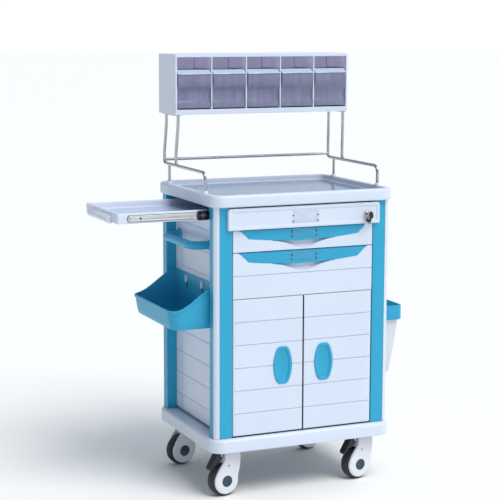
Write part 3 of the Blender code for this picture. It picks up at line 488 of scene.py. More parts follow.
def make_worktop():
    """Worktop: round-nosed rim, inner wall with a wide fillet, and a blue mat in the recess."""
    low, high = corners("worktop")
    rim, floor = 0.022, high[2] - 0.018
    steps = [(0.02, low[2])] + slab_wall(low[2], high[2], 0.005, 0.009)
    steps += fillet(rim - 0.005, high[2] - 0.005, 0.005, 90, 0)
    steps += fillet(rim + 0.009, floor + 0.007, 0.007, 180, 270) + [(0.05, floor)]
    loops = levels(low[:2], high[:2], 0.045, steps, bend=14)
    piece("worktop_moulding", "cart", WHITE, [skin(loops)], ["worktop"])
    steps = [(rim + 0.012, floor + 0.0002)]
    steps += fillet(rim + 0.0118, floor + 0.0012, 0.0008, 180, 90, 3) + [(0.06, floor + 0.002)]
    mat = levels(low[:2], high[:2], 0.045, steps, bend=14)
    piece("worktop_mat", "cart", TRAY_MAT, [skin(mat)])


def make_base():
    """Base tray, hollow from below."""
    low, high = corners("base_tray")
    wall = 0.008
    steps = [(0.05, high[2] - wall), (wall + 0.001, high[2] - wall), (wall, low[2] + 0.001)]
    steps += slab_wall(low[2], high[2], 0.003, 0.010) + [(0.05, high[2])]
    loops = levels(low[:2], high[:2], 0.045, steps, bend=14)
    piece("base_moulding", "cart", WHITE, [skin(loops)], ["base_tray"])
    # Painted shadow: a black strip on the tray's top under the doors stands in for the dark gap beneath them.
    door, far = corners("door_left")[0], corners("door_right")[1]
    steps = [(0.0, high[2] - 0.0005), (0.0, high[2] + 0.0040), (0.0004, high[2] + 0.0044)]
    strip = levels((door[0] - 0.002, door[1] + 0.0010), (far[0] + 0.002, far[1]), 0.001, steps, bend=3)
    piece("door_threshold", "cart", BLACK, [skin(strip)])


# ---------------------------------------------------------------- slatted panels and fronts
SIDE_LINE = FIRST_LINE - 0.016         # the side panels' lines sit a little under the fronts'


def make_panels():
    """Slatted side and back panels, with a plain strip along the back edge of each side."""
    strip = 0.043

    for name, side in (("panel_left", 1), ("panel_right", -1)):
        low, high = corners(name)
        ends = ((low[1], high[1]), (low[2], high[2]))
        seam = high[1] - strip

        def depth(y, z):
            """The deeper of a slat line and the back strip's V edge, plus the rounded border."""
            groove = slat_lines(z, low[2], high[2], SIDE_LINE, 0.0026)
            post_line = 0.0008 * np.clip(1 - np.abs(y - seam) / (GROOVE / 2), 0, 1)
            return np.maximum(groove, post_line) + edge_drop(y, z, ends, 0.001)
        across = spaced(*ends[0], 0.02, seam + GROOVE / 2 * np.array([-1, -0.5, 0, 0.5, 1]))
        up = spaced(*ends[1], 0.02, line_places(low[2], high[2], SIDE_LINE))
        face = low[0] if side > 0 else high[0]
        shape = relief(across, up, depth, sideways(face, side), 0.014)
        piece(name + "_slats", "cart", WHITE, [shape], [name])
    low, high = corners("panel_back")
    ends = ((low[0], high[0]), (low[2], high[2]))
    shape = relief(spaced(*ends[0], 0.03), spaced(*ends[1], 0.02, line_places(low[2], high[2])),
                   lambda x, z: slat_lines(z, low[2], high[2]) + edge_drop(x, z, ends, 0.001),
                   facing(high[1], -1), high[1] - low[1])
    piece("panel_back_slats", "cart", WHITE, [shape], ["panel_back"])


PULL_TOP, PULL_LOW = 0.2225, 0.188     # half widths of a drawer pull, at its top and lower edge
PULL_SIDE, PULL_MID = 0.0293, 0.0410   # its height near the ends and in the middle
HOLLOW_RISE, HOLLOW_REACH = 0.0285, 0.062  # how far the finger hollow's rim drops, and its spread
HOLLOW_DEPTH = 0.0165


def pull_height(x):
    """Height of the pull at a place: a sagging arc between two hollow slanted ends.

    The arc is PULL_MID at the middle and PULL_SIDE at PULL_LOW; beyond it the height is
    PULL_SIDE times ((PULL_TOP - x) / (PULL_TOP - PULL_LOW)) to the power 1.2.
    """
    x = np.abs(x)
    arch = PULL_MID - (PULL_MID - PULL_SIDE) * np.clip(x / PULL_LOW, 0, 1) ** 2
    slant = np.clip((PULL_TOP - x) / (PULL_TOP - PULL_LOW), 0, 1) ** 1.2
    return np.where(x < PULL_LOW, arch, PULL_SIDE * slant)


def make_drawer(number):
    """A lower drawer: slatted front with a finger hollow, blue pull, label window and box."""
    body = f"drawer_{number}"
    low, high = corners(body + "_front")
    ends = ((low[0], high[0]), (low[2], high[2]))
    top = high[2]
    bowl_z = top - PULL_MID + 0.004
    shadow_gap = 0.0026 if number == 2 else 0.0

    def depth(x, z):
        """The deepest of finger hollow, pull's recess, top gap, slat lines and rounded border.

        The hollow's rim drops by HOLLOW_RISE times exp(-(across / HOLLOW_REACH) squared). With
        inside as the share of the way up from the rim, its depth is HOLLOW_DEPTH times
        inside / (inside + 0.1): steep at the rim, then level.
        """
        across = x - MID_X
        rim = HOLLOW_RISE * np.exp(-(across / HOLLOW_REACH) ** 2)
        inside = np.clip((z - bowl_z + rim) / np.maximum(rim, 1e-6), 0, 1) * (rim > 0.0016)
        bowl = HOLLOW_DEPTH * inside / (inside + 0.10)
        under = np.clip((z - (top - pull_height(across)) - 0.0016) / 0.0008, 0, 1)
        notch = np.where(z > top - shadow_gap, 0.012, 0.0)
        return np.maximum.reduce([bowl, 0.004 * under, notch, slat_lines(z, low[2], top),
                                  edge_drop(x, z, ends, 0.0014)])
    places = [*line_places(low[2], top), top - shadow_gap - 0.0002, top - shadow_gap + 0.0001]
    shape = relief(spaced(*ends[0], 0.0028), spaced(*ends[1], 0.0014, places),
                   depth, facing(low[1]), high[1] - low[1])
    piece(body + "_face", body, WHITE, [shape], [body + "_front"])
    across = np.linspace(-PULL_TOP + 0.0006, PULL_TOP - 0.0006, 160)
    lower = np.stack([across, top - 0.0006 - np.maximum(pull_height(across), 0.0004 + shadow_gap)], -1)
    upper = np.stack([across[::-1], np.full(len(across), top - shadow_gap)], -1)
    outline = np.concatenate([lower, upper]) + (MID_X, 0.0)
    shape = plate(outline, edge_steps(0.008, 0.0009, 4), facing(low[1] - 0.0003))
    piece(body + "_pull", body, BLUE, [shape], [body + "_grip"])
    make_label(body, low[1] - 0.0004, top - 0.0345, top - 0.0025)
    eased(body + "_box", body, GREY, 0.0008)


def make_label(body, y, z0, z1):
    """Clear label window with a thin raised frame, held by two dark pins on each side."""
    half = 0.043
    outline = oblong((MID_X - half, z0), (MID_X + half, z1), 0.002, bend=4)
    window = plate(outline, [(0, 0.0012), (0, -0.0006), (0.0004, -0.0010), (0.0016, -0.0010),
                             (0.0019, -0.0004), (0.004, -0.0004)], facing(y))
    piece(body + "_label_window", body, LABEL_CLEAR, [window])
    pins = []
    for side in (-1, 1):
        for z in (z0 + 0.006, z0 + (z1 - z0) * 0.62):
            profile = [(0.0, 0.0), (0.0022, 0.0), (0.0022, 0.0018), (0.0015, 0.0026), (0.0, 0.0026)]
            pins.append(skin(turned(profile, (MID_X + side * (half - 0.001), y, z), (0, -1, 0), 16)))
    piece(body + "_label_pins", body, BLACK, pins)


def make_top_drawer():
    """Top drawer: fascia with a raised border, label window and shallow box."""
    low, high = corners("top_drawer_front")
    border = 0.011                         # width of the raised edge
    steps = edge_steps(high[1] - low[1], 0.0028) + [(border - 0.0012, 0.0)]
    steps += [(border - 0.0004, 0.0004), (border + 0.0002, 0.0015), (border + 0.0012, 0.0019),
              (border + 0.004, 0.0019)]
    rows = levels(low[[0, 2]], high[[0, 2]], (0.003, 0.003, 0.011, 0.011), steps)
    fascia = facing(low[1])(rows[..., 0], rows[..., 2], rows[..., 1])
    piece("top_drawer_fascia", "top_drawer", WHITE, [skin(fascia)], ["top_drawer_front"])
    make_label("top_drawer", low[1] + 0.0015, low[2] + 0.014, high[2] - 0.015)
    eased("top_drawer_box", "top_drawer", GREY, 0.0008)


CUP_X, CUP_Z = 0.071, 0.4095           # middle of a door's finger cup
CUP_HALF, CUP_RISE = 0.0255, 0.0520    # half the width and height of the hole for it


def cup_outline(inset=0.0, steps=7):
    """Barrel outline of a finger cup about its own middle: flat ends, bowed sides."""
    half = [(0.0165, -0.0600), (0.0265, -0.0400), (0.0325, -0.0120), (0.0325, 0.0120),
            (0.0265, 0.0400), (0.0165, 0.0600)]
    points = half + [(-x, -z) for x, z in half]
    return drawn_in(rounded_off(points, 0.012, steps), inset)


def make_door(name, side):
    """A slatted door with a rounded hinge edge, a dark strip of painted shade along its meeting edge, and its
    blue finger cup with a darker blue well of painted shade.
    """
    body = "door_" + name
    low, high = corners(body)
    middle = np.array([MID_X + side * CUP_X, CUP_Z])
    shade_strip, nose = 0.0012, 0.0045
    left, right = (low[0], high[0] - shade_strip) if side < 0 else (low[0] + shade_strip, high[0])
    ends = ((left, right), (low[2], high[2]))

    def depth(x, z):
        """The deepest of a quarter round at the hinge side, the cup's hole, lines and border.

        The hole is where (x / CUP_HALF) to 2.6 plus (z / CUP_RISE) to 2.6 stays under 1.
        """
        outer = (x - left) if side < 0 else (right - x)
        hinge = nose * (1 - np.sqrt(1 - (1 - np.clip(outer / nose, 0, 1)) ** 2))
        away = (np.abs(x - middle[0]) / CUP_HALF) ** 2.6 + (np.abs(z - middle[1]) / CUP_RISE) ** 2.6
        cup = np.where(away < 1, 0.0171, 0.0)
        lines = slat_lines(z, low[2], high[2])
        return np.maximum.reduce([hinge, cup, lines, edge_drop(x, z, ends, 0.0012)])
    hole = [middle[0] + CUP_HALF * k for k in (-1, -0.9, -0.7, -0.4, 0, 0.4, 0.7, 0.9, 1)]
    shape = relief(spaced(left, right, 0.010, hole), spaced(low[2], high[2], 0.008,
                   line_places(low[2], high[2])), depth, facing(low[1]), high[1] - low[1])
    piece(body + "_face", body, WHITE, [shape], [body])
    # Painted shade: a dark strip along the door's meeting edge stands in for the shade in the gap.
    edge = right if side < 0 else low[0]
    outline = oblong((edge, low[2] + 0.001), (edge + shade_strip, high[2] - 0.001), 0.0004, bend=3)
    strip = plate(outline, [(0.0, 0.0165), (0.0, 0.0012), (0.0003, 0.0009)], facing(low[1]))
    piece(body + "_edge_seal", body, GAP_SHADE, [strip])
    outline = cup_outline() + middle
    face = low[1]
    steps = [(0.001, 0.0), (0.0, -0.0008)]
    steps += [(0.0028 - 0.0028 * c, -0.0008 - 0.0026 * s) for c, s in zip(*arc(0, 90, 5))]
    steps += [(0.0072 + 0.0036 * s, -0.0034 + 0.0036 * (1 - c)) for c, s in zip(*arc(0, 80, 5))]
    steps += [(0.0112, 0.0030), (0.0114, 0.0160), (0.0160, 0.0164)]
    cup = plate(outline, steps, facing(face))
    piece(body + "_finger_cup", body, BLUE, [cup], ["door_cup_" + name], 50)
    # Painted shade: a darker blue liner in the deep part of the cup.
    steps = [(0.0113, 0.0161), (0.0114, 0.0022), (0.0118, 0.0020), (0.0122, 0.0110),
             (0.0140, 0.0142), (0.0175, 0.0153)]
    shade_well = plate(outline, steps, facing(face))
    piece(body + "_finger_well", body, CUP_SHADE_BLUE, [shade_well], angle=50)


# ---------------------------------------------------------------- lock and keys
def key_bow(centre, radius, hole, thick, axis):
    """Round key head with a rounded edge and a hole towards one side, lying across an axis.

    It is a ring of circles: four about the head's middle, then three about the hole's.
    """
    c, s = arc(0, 352.5, 48)
    unit = np.stack([c, s], -1)
    half = thick / 2
    rows = [(radius - 0.0008, half), (radius, half - 0.0008), (radius, 0.0008 - half),
            (radius - 0.0008, -half), (hole[2] + 0.0004, -half), (hole[2], 0.0),
            (hole[2] + 0.0004, half)]
    points = []
    for n, (r, level) in enumerate(rows):
        shift = np.array(hole[:2]) if n > 3 else np.zeros(2)
        flat = unit * r + shift
        high = np.full(len(flat), level)
        points.append(np.stack([high, flat[:, 0], flat[:, 1]] if axis == "x"
                               else [flat[:, 0], high, flat[:, 1]], -1))
    return skin(np.array(points) + centre, ring=True)


def blade(length, width, thick, turn, root, plane):
    """Key blade with cut teeth: its outline runs down from the root, turned about it."""
    teeth = [(-width / 2, 0), (-width / 2, -length + 0.003), (0, -length), (width * 0.2, -length + 0.002)]
    for k in range(5):
        z = -length + 0.003 + 0.0038 * k
        teeth += [(width * (0.15 + 0.12 * (k % 3)), z), (width * 0.48, z + 0.0019)]
    teeth.append((width / 2, 0))
    a = math.radians(turn)
    spin = np.array([[math.cos(a), math.sin(a)], [-math.sin(a), math.cos(a)]])
    outline = np.array(teeth) @ spin
    steps = [(0.0002, -thick / 2), (0, -thick / 2 + 0.0002), (0, thick / 2 - 0.0002), (0.0002, thick / 2)]
    place = {"xz": lambda u, d, v: np.stack([root[0] + u, root[1] + d, root[2] + v], -1),
             "yz": lambda u, d, v: np.stack([root[0] + d, root[1] + v, root[2] + u], -1)}[plane]
    return plate(outline, steps, place)


def make_lock():
    """Chrome cam lock, the key in it, and the spare key that hangs round its shank."""
    axis = np.array(JOINTS["key_turn"]["pos_m"])
    profile = [(0.0, 0.0006), (0.0022, 0.0006), (0.0026, 0.0), (0.0074, 0.0), (0.0078, 0.0007),
               (0.0083, 0.0007), (0.0087, 0.0), (0.0098, 0.0004), (0.0105, 0.0014), (0.0105, 0.0050),
               (0.0080, 0.0054), (0.0080, 0.0170), (0.0, 0.0170)]
    barrel = skin(turned(profile, axis, (0, 1, 0), 40))
    piece("lock_face", "lock", CHROME, [barrel], ["lock_barrel"])
    bow = key_bow(axis + (0.0, -0.0215, 0.0), 0.0115, (-0.0045, 0.0, 0.0034), 0.0042, "x")
    piece("key_bow", "lock", BLACK, [bow], ["key"])
    shank = blade(0.024, 0.0062, 0.0020, 180, axis + (0.0, -0.0115, 0.0), "yz")
    piece("key_blade", "lock", RAIL_STEEL, [shank])
    hang = corners("spare_key")[0][2]
    hook = np.array(JOINTS["spare_key_swing"]["pos_m"])
    # the ring is a circle hung on the shank, its lowest point 0.4 mm nearer the drawer
    turn = np.radians(np.linspace(0, 360, 49))
    reach = 0.00255
    loop = np.stack([0.0070 * np.sin(turn), 0.0004 * np.sin(turn * 0.5),
                     0.0070 * np.cos(turn) - reach], -1) + hook
    ring = skin(bar(loop, 0.0009, 10), ends=True)
    piece("spare_key_ring", "spare_key", CHROME, [ring])
    centre = np.array([hook[0], hook[1], hang + 0.0085])
    bow = key_bow(centre, 0.0088, (0.0, 0.0050, 0.0024), 0.0040, "y")
    piece("spare_key_bow", "spare_key", BLACK, [bow], ["spare_key"])
    edge = blade(0.024, 0.0060, 0.0018, -38, centre + (-0.0046, 0.0, -0.0062), "xz")
    piece("spare_key_blade", "spare_key", RAIL_STEEL, [edge])


# ---------------------------------------------------------------- side shelf
def make_shelf():
    """Pull-out tray with a grip lip, its steel slide rail and the black guide on the body."""
    low, high = corners("side_shelf")
    grip_out = 0.015
    x0, z0, z1 = low[0] + grip_out, high[2] - 0.031, high[2]
    rim, floor = 0.014, z0 + 0.010
    steps = [(0.02, z0)] + slab_wall(z0, z1, 0.002, 0.003)
    steps += fillet(rim - 0.003, z1 - 0.003, 0.003, 90, 0, 4)
    steps += fillet(rim + 0.007, floor + 0.005, 0.005, 180, 270) + [(0.04, floor)]
    loops = levels((x0, low[1]), high[:2], 0.006, steps, bend=8)
    middle, half = (low[1] + high[1]) / 2, 0.0975
    lip = rounded_off([(x0 + 0.004, low[2]), (x0 - 0.007, low[2]), (x0 - 0.015, low[2] + 0.008),
                       (x0 - 0.015, low[2] + 0.0165), (x0 - 0.004, low[2] + 0.025),
                       (x0 + 0.004, low[2] + 0.025)], 0.0035, 5)
    steps = [(0.004, -half), (0.0012, -half + 0.0005), (0.0, -half + 0.003), (0.0, half - 0.003),
             (0.0012, half - 0.0005), (0.004, half)]
    grip = plate(lip, steps, facing(middle))
    piece("side_shelf_tray", "side_shelf", WHITE, [skin(loops), grip], ["side_shelf"])
    # Painted shade: a darker bluish sheet laid over the tray's white recess floor.
    steps = [(rim + 0.0095, floor + 0.0001), (rim + 0.0095, floor + 0.0010), (rim + 0.0105, floor + 0.0016),
             (0.05, floor + 0.0016)]
    mat = levels((x0, low[1]), high[:2], 0.030, steps, bend=8)
    piece("side_shelf_mat", "side_shelf", SHELF_FLOOR_SHADE, [skin(mat)])
    front = low[1]
    rail_low, rail_high = x0 + 0.033, x0 + 0.252
    mid_z = (z0 + z1) / 2 - 0.0005
    outline = oblong((rail_low, mid_z - 0.0088), (rail_high, mid_z + 0.0088), 0.0060, bend=6)
    steps = [(0.0005, 0.0), (0.0, -0.0005), (0.0, -0.0040), (0.0008, -0.0048), (0.0022, -0.0048),
             (0.0032, -0.0026), (0.0062, -0.0026), (0.0070, -0.0042), (0.0074, -0.0042)]
    rail = [plate(outline, steps, facing(front))]
    back = oblong((rail_low - 0.0012, mid_z - 0.0100), (rail_high, mid_z + 0.0100), 0.0070, bend=6)
    backing = plate(back, [(0.0, 0.0), (0.0, -0.0012), (0.0004, -0.0016)], facing(front))
    screw = turned([(0.0, -0.0044), (0.0030, -0.0044), (0.0034, -0.0040), (0.0034, -0.0010)],
                   (rail_low + 0.040, front, mid_z), (0, 1, 0), 16)
    piece("side_shelf_rail_backing", "side_shelf", BLACK, [backing, skin(screw)])
    for x in (0.012, 0.110, 0.190):
        profile = [(0.0, -0.0046), (0.0026, -0.0046), (0.0030, -0.0042), (0.0030, 0.0)]
        rail.append(skin(turned(profile, (rail_low + x, front, mid_z), (0, 1, 0), 16)))
    piece("side_shelf_slide_rail", "side_shelf", RAIL_STEEL, rail)
    channel = corners("shelf_channel_front")
    web, lip_y = front - 0.0105, front - 0.0015
    start = channel[0][0] - 0.0375
    window = oblong((start, mid_z - 0.0145), (start + 0.036, mid_z + 0.0145), 0.0030, bend=5)
    hoop = [(0.0006, web), (0.0, web + 0.0006), (0.0, lip_y), (0.0034, lip_y), (0.0034, web + 0.0030),
            (0.0105, web + 0.0030), (0.0105, web + 0.0006), (0.0099, web)]
    rows = np.array([np.column_stack([drawn_in(window, inset), np.full(len(window), y)])
                     for inset, y in hoop])
    guide = [skin(rows[..., [0, 2, 1]], ring=True)]
    for x in (0.006, 0.030):
        profile = [(0.0, -0.0016), (0.0030, -0.0016), (0.0036, -0.0010), (0.0036, 0.001)]
        guide.append(skin(turned(profile, (start + x, web, mid_z), (0, 1, 0), 16)))
    piece("shelf_slide_guide", "cart", BLACK, guide)


# ---------------------------------------------------------------- rail, stands and tilt bins
def bent_path(points, radii, steps=9):
    """A polyline in space whose inner corners are rounded as quadratic curves."""
    points = [np.asarray(p, float) for p in points]
    out = [points[0][None]]
    for before, here, after, r in zip(points, points[1:], points[2:], radii):
        out.append(corner_curve(before, here, after, r, steps))
    out.append(points[-1][None])
    return np.concatenate(out)


TUBE = 0.005                            # radius of the rail's and the stands' tube
RAIL_END, CROSSBAR_RISE = 0.026, 0.011  # turned-up ends and crossbar above the side tubes
REAR_FOOT, LEG_FRONT = 0.163, 0.102     # rear foot and front leg behind the cart's middle
LEG_LEAN, LEG_SPAN = 0.010, 0.294       # how far a leg leans forward; half the legs' span


def make_rail():
    """Guard rail: two bent side tubes turned up at the back, crossbar, and bosses at the feet."""
    low, high = corners("guard_rail")
    x0, y0 = low[:2] + TUBE
    x1, y1 = high[:2] - TUBE
    top, foot = high[2], low[2]
    z, rear = top - RAIL_END, MID_Y + REAR_FOOT
    tubes, bosses = [], []
    for x in (x0, x1):
        spots = [(x, y0, foot), (x, y0, z), (x, y1, z), (x, y1, top)]
        tubes.append(skin(bar(bent_path(spots, (0.026, 0.014), 12), TUBE, 20)))
        tubes.append(skin(bar([(x, rear, z - 0.001), (x, rear, foot)], TUBE - 0.0006, 16)))
        for y in (y0, rear):
            profile = [(0.0, 0.0065), (0.0062, 0.0065), (0.0076, 0.0058), (0.0086, 0.0040),
                       (0.0094, 0.0010), (0.0102, -0.0004), (0.0, -0.0004)]
            bosses.append(skin(turned(profile, (x, y, foot), (0, 0, 1), 28)))
    level = z + CROSSBAR_RISE
    tubes.append(skin(bar([(x0, y1, level), (x1, y1, level)], TUBE - 0.0003, 20)))
    piece("guard_rail_tube", "cart", TUBE_STEEL, tubes, ["guard_rail"])
    piece("guard_rail_bosses", "cart", WHITE, bosses)


def make_stands():
    """Two frames of bent tube between the guard rail and the tilt-bin cabinet."""
    rail_low, rail_high = corners("guard_rail")
    rail_z = rail_high[2] - RAIL_END
    for name, side in (("left", -1), ("right", 1)):
        low, high = corners("bin_stand_" + name)
        foot_x = (rail_low[0] + TUBE) if side < 0 else (rail_high[0] - TUBE)
        top_x, top = MID_X + side * LEG_SPAN, high[2]
        front, back = MID_Y + LEG_FRONT, rail_high[1] - TUBE
        starts = {front: [(foot_x, front - 0.013, rail_z), (foot_x, front, rail_z + 0.005)],
                  back: [(foot_x, back, rail_z + RAIL_END)]}
        shapes = []
        for y, spots in starts.items():
            spots = spots + [(foot_x, y, rail_z + 0.040), (top_x, y - LEG_LEAN, top - 0.030),
                             (top_x, y - LEG_LEAN, top - 0.0015)]
            bends = (0.009, 0.010, 0.014)[2 - len(spots):]
            shapes.append(skin(bar(bent_path(spots, bends), TUBE, 20)))
        outline = oblong((top_x - 0.008, low[1]), (top_x + 0.008, high[1]), 0.006, bend=6)
        steps = [(0.0006, top - 0.003), (0.0, top - 0.0024), (0.0, top - 0.0004), (0.0004, top)]
        shapes.append(plate(outline, steps, lambda u, d, v: np.stack([u, v, d], -1)))
        piece(f"bin_stand_{name}_tube", "cart", TUBE_STEEL, shapes, [f"bin_stand_{name}"])


def make_bins():
    """Tilt bins: bowed fronts proud of the dividers, a sloped lip band, thin clear walls.

    The front stands off by 7 mm times the sine of one turn over the height under the lip. A glowing
    lining of painted light covers the back of each pocket, and its right side above the bin, to
    brighten the pockets.
    """
    wall, height, gap = 0.0022, 0.122, 0.0015
    cabinet_low, cabinet_high = corners("bin_cabinet")
    ceiling, backing = cabinet_high[2] - 0.0093, cabinet_high[1] - 0.0075
    for n in range(1, 6):
        low, high = corners(f"tilt_bin_{n}")
        rise = np.concatenate([[0.0], np.linspace(0.0015, 0.86, 26), [0.885, 0.90, 0.96, 0.995, 1.0]])
        t = rise / 0.86
        wave = -0.001 + 0.0070 * np.sin(2 * np.pi * (t - 0.10)) * np.minimum(1.0, 4 * t)
        bow = np.where(rise > 0.87, np.interp(rise, [0.87, 0.885, 0.90, 0.96, 1.0],
                                             [-0.0050, -0.0068, -0.0060, 0.0030, 0.0080]), wave)
        back = high[1] - 0.006 * rise

        def loop(k, inset, z):
            """One level of a bin: an oblong with its front out by the bow and its back drawn in."""
            flat = oblong((low[0] + inset, low[1] + bow[k] + inset),
                          (high[0] - inset, back[k] - inset), 0.0028, edge=2, bend=5)
            return np.column_stack([flat, np.full(len(flat), z)])
        outer = [loop(k, 0.0 if k else 0.0012, low[2] + height * rise[k]) for k in range(len(rise))]
        inner = [loop(k, wall, low[2] + max(height * rise[k], wall)) for k in range(len(rise))][::-1]
        piece(f"tilt_bin_{n}_cup", f"tilt_bin_{n}", SMOKED, [skin(np.array(outer + inner))],
              [f"tilt_bin_{n}"], 24)
        # Painted light: a glowing panel at the back of the pocket, and one on its right side above the bin.
        outline = oblong((low[0] + 0.001, low[2] + 0.010), (high[0] - 0.001, ceiling - 0.001), 0.002, bend=4)
        lining = plate(outline, [(0.0, 0.0008), (0.0, -0.0004), (0.0004, -0.0008)], facing(backing))
        side = plate(oblong((cabinet_low[1] + 0.012, low[2] + height + 0.002),
                            (backing - 0.002, ceiling - 0.001), 0.002, bend=4),
                     [(0.0, 0.0), (0.0, 0.0003), (0.0004, 0.0006)],
                     lambda u, d, v: np.stack([high[0] + gap - d, u, v], -1))
        piece(f"glowing_pocket_{n}_lining", "cart", POCKET_GLOW, [lining, side])


# ---------------------------------------------------------------- side fittings
def make_handle():
    """Bent blue push bar with a stepped round foot at each end."""
    low, high = corners("push_handle")
    r, foot = 0.013, 0.021
    wall, out = high[0], low[0] + r
    y0, y1 = low[1] + foot, high[1] - foot
    z = (low[2] + high[2]) / 2
    spots = [(wall, y0, z), (out, y0, z), (out, y1, z), (wall, y1, z)]
    shapes = [skin(bar(bent_path(spots, (0.040, 0.040), 16), r, 28))]
    profile = [(0.0, 0.0), (0.0205, 0.0), (0.0210, 0.0008), (0.0206, 0.0030), (0.0185, 0.0044),
               (0.0150, 0.0052), (0.0134, 0.0075), (0.0129, 0.0100), (0.0, 0.0100)]
    shapes.append(skin(turned(profile, (wall, y1, z), (-1, 0, 0), 40)))
    profile = [(0.0, 0.0), (0.0160, 0.0), (0.0160, 0.0016), (0.0142, 0.0030), (0.0129, 0.0034), (0.0, 0.0034)]
    shapes.append(skin(turned(profile, (wall, y0, z), (-1, 0, 0), 40)))
    piece("push_handle_bar", "cart", BLUE, shapes, ["push_handle"])


def make_basket():
    """Side basket: tapered walls, a rim that rises in an S to the panel, and a rolled edge.

    The rim's height is its low edge plus the rise times t * t * (3 - 2 * t), where t runs
    from 0 near the outer side to 1 at the panel.
    """
    low, high = corners("side_basket")
    depth, rim_low = high[0] - low[0], low[2] + 0.063
    wall, taper = 0.003, 0.009

    def rim(x):
        """Height of the rim at a place across."""
        t = np.clip(((x - low[0]) / depth - 0.08) / 0.92, 0, 1)
        return rim_low + (high[2] - rim_low) * t * t * (3 - 2 * t)

    def loop(inset, lean, height):
        """An oblong drawn in by the inset and the wall's lean, its height a function of x."""
        radii = np.maximum(np.array([0.035, 0.006, 0.006, 0.035]) - inset, 0.0015)
        flat = oblong((low[0] + inset + lean, low[1] + inset + lean * 0.6),
                      (high[0] - max(inset, 0.0), high[1] - inset - lean * 0.6), radii, 20, 12)
        return np.column_stack([flat, height(flat[:, 0])])

    def climb(share, drop=0.0):
        """Heights a share of the way from the bottom to the rim, less a drop."""
        return lambda x: low[2] + (rim(x) - low[2]) * share - drop
    loops = [loop(0.010, taper, lambda x: np.full(len(x), low[2])),
             loop(0.003, taper, lambda x: np.full(len(x), low[2] + 0.0012)),
             loop(0.0, taper, lambda x: np.full(len(x), low[2] + 0.006))]
    loops += [loop(0.0, taper * (1 - s), climb(s, 0.0)) for s in (0.3, 0.6, 0.86)]
    loops += [loop(0.0, 0.0008, climb(1.0, 0.0085)), loop(-0.0016, 0.0, climb(1.0, 0.0080)),
              loop(-0.0024, 0.0, climb(1.0, 0.0066)), loop(-0.0024, 0.0, climb(1.0, 0.0016)),
              loop(-0.0012, 0.0, climb(1.0, 0.0002)), loop(0.0012, 0.0, climb(1.0)),
              loop(0.0026, 0.0, climb(1.0, 0.0008)), loop(wall, 0.0, climb(1.0, 0.0030))]
    loops += [loop(wall, taper * (1 - s), climb(s)) for s in (0.8, 0.5, 0.25)]
    loops += [loop(wall, taper, lambda x: np.full(len(x), low[2] + 0.009)),
              loop(wall + 0.002, taper, lambda x: np.full(len(x), low[2] + 0.0045)),
              loop(wall + 0.008, taper, lambda x: np.full(len(x), low[2] + wall))]
    piece("side_basket_shell", "cart", BLUE, [skin(np.array(loops))], ["side_basket"])
    knobs, slots = [], []
    wall_x = high[0] - wall
    for y in (0.080, -0.055):
        y, z = MID_Y + y, high[2] - 0.020
        outline = oblong((y - 0.0062, z - 0.0125), (y + 0.0062, z + 0.0125), 0.0060, bend=8)
        steps = [(0.0, 0.001), (0.0, -0.0035), (0.0010, -0.0055), (0.0030, -0.0070), (0.0050, -0.0074)]
        knobs.append(plate(outline, steps, sideways(wall_x)))
        outline = oblong((y - 0.0042, z - 0.033), (y + 0.0008, z - 0.0105), 0.0022, bend=6)
        slots.append(plate(outline, [(0.0, 0.001), (0.0, -0.0012), (0.0006, -0.0018)], sideways(wall_x)))
    piece("side_basket_knobs", "cart", COVER_WHITE, knobs)
    piece("side_basket_knob_slots", "cart", BLACK, slots)


def make_waste():
    """Waste holder: rounded blue collar on its bracket, and a tapered white bucket in it."""
    low, high = corners("waste_collar")
    x0 = POST_RIGHT[0] + 0.003
    box = ((x0, low[1]), (high[0], high[1]))
    z0, z1, wall = low[2], high[2], 0.004
    steps = fillet(0.002, z0 + 0.002, 0.002, 270, 180, 4) + fillet(0.002, z1 - 0.002, 0.002, 180, 90, 4)
    steps += fillet(wall - 0.0012, z1 - 0.0012, 0.0012, 90, 0, 4)
    steps += [(wall, z0 + 0.004), (wall + 0.001, z0 + 0.003), (wall + 0.0055, z0 + 0.003),
              (wall + 0.0055, z0)]
    ring = skin(levels(*box, 0.022, steps, bend=10), ring=True)
    outline = oblong((MID_Y - 0.055, z0 + 0.006), (MID_Y + 0.055, z1 - 0.006), 0.008, bend=6)
    reach = x0 + 0.002 - low[0]
    steps = [(0.0, 0.0), (0.0, reach)]
    arm = plate(outline, steps, sideways(low[0]))
    piece("waste_collar_frame", "cart", BLUE, [ring, arm], ["waste_collar"])
    low, high = corners("waste_bucket")
    taper, skin_t = 0.024, 0.0025
    seat = high[2] - 0.003
    inner = 0.0103
    steps = [(inner + taper + 0.006, low[2]), (inner + taper + 0.0012, low[2] + 0.0006),
             (inner + taper - 0.0005, low[2] + 0.004)]
    steps += [(inner + taper * (1 - s), low[2] + (seat - low[2]) * s) for s in (0.3, 0.6, 0.98)]
    steps += [(0.0050, seat), (0.0048, seat + 0.0010), (0.0048, seat + 0.0022), (0.0056, high[2])]
    steps += [(inner + skin_t - 0.001, high[2]), (inner + skin_t, high[2] - 0.001)]
    steps += [(inner + skin_t + taper * (1 - s), low[2] + (seat - low[2]) * s) for s in (0.6, 0.3, 0.03)]
    steps += [(inner + taper + 0.010, low[2] + skin_t)]
    bucket = skin(levels(*box, 0.022, steps, bend=10))
    piece("waste_bucket_shell", "waste_bucket", COVER_WHITE, [bucket], ["waste_bucket"])


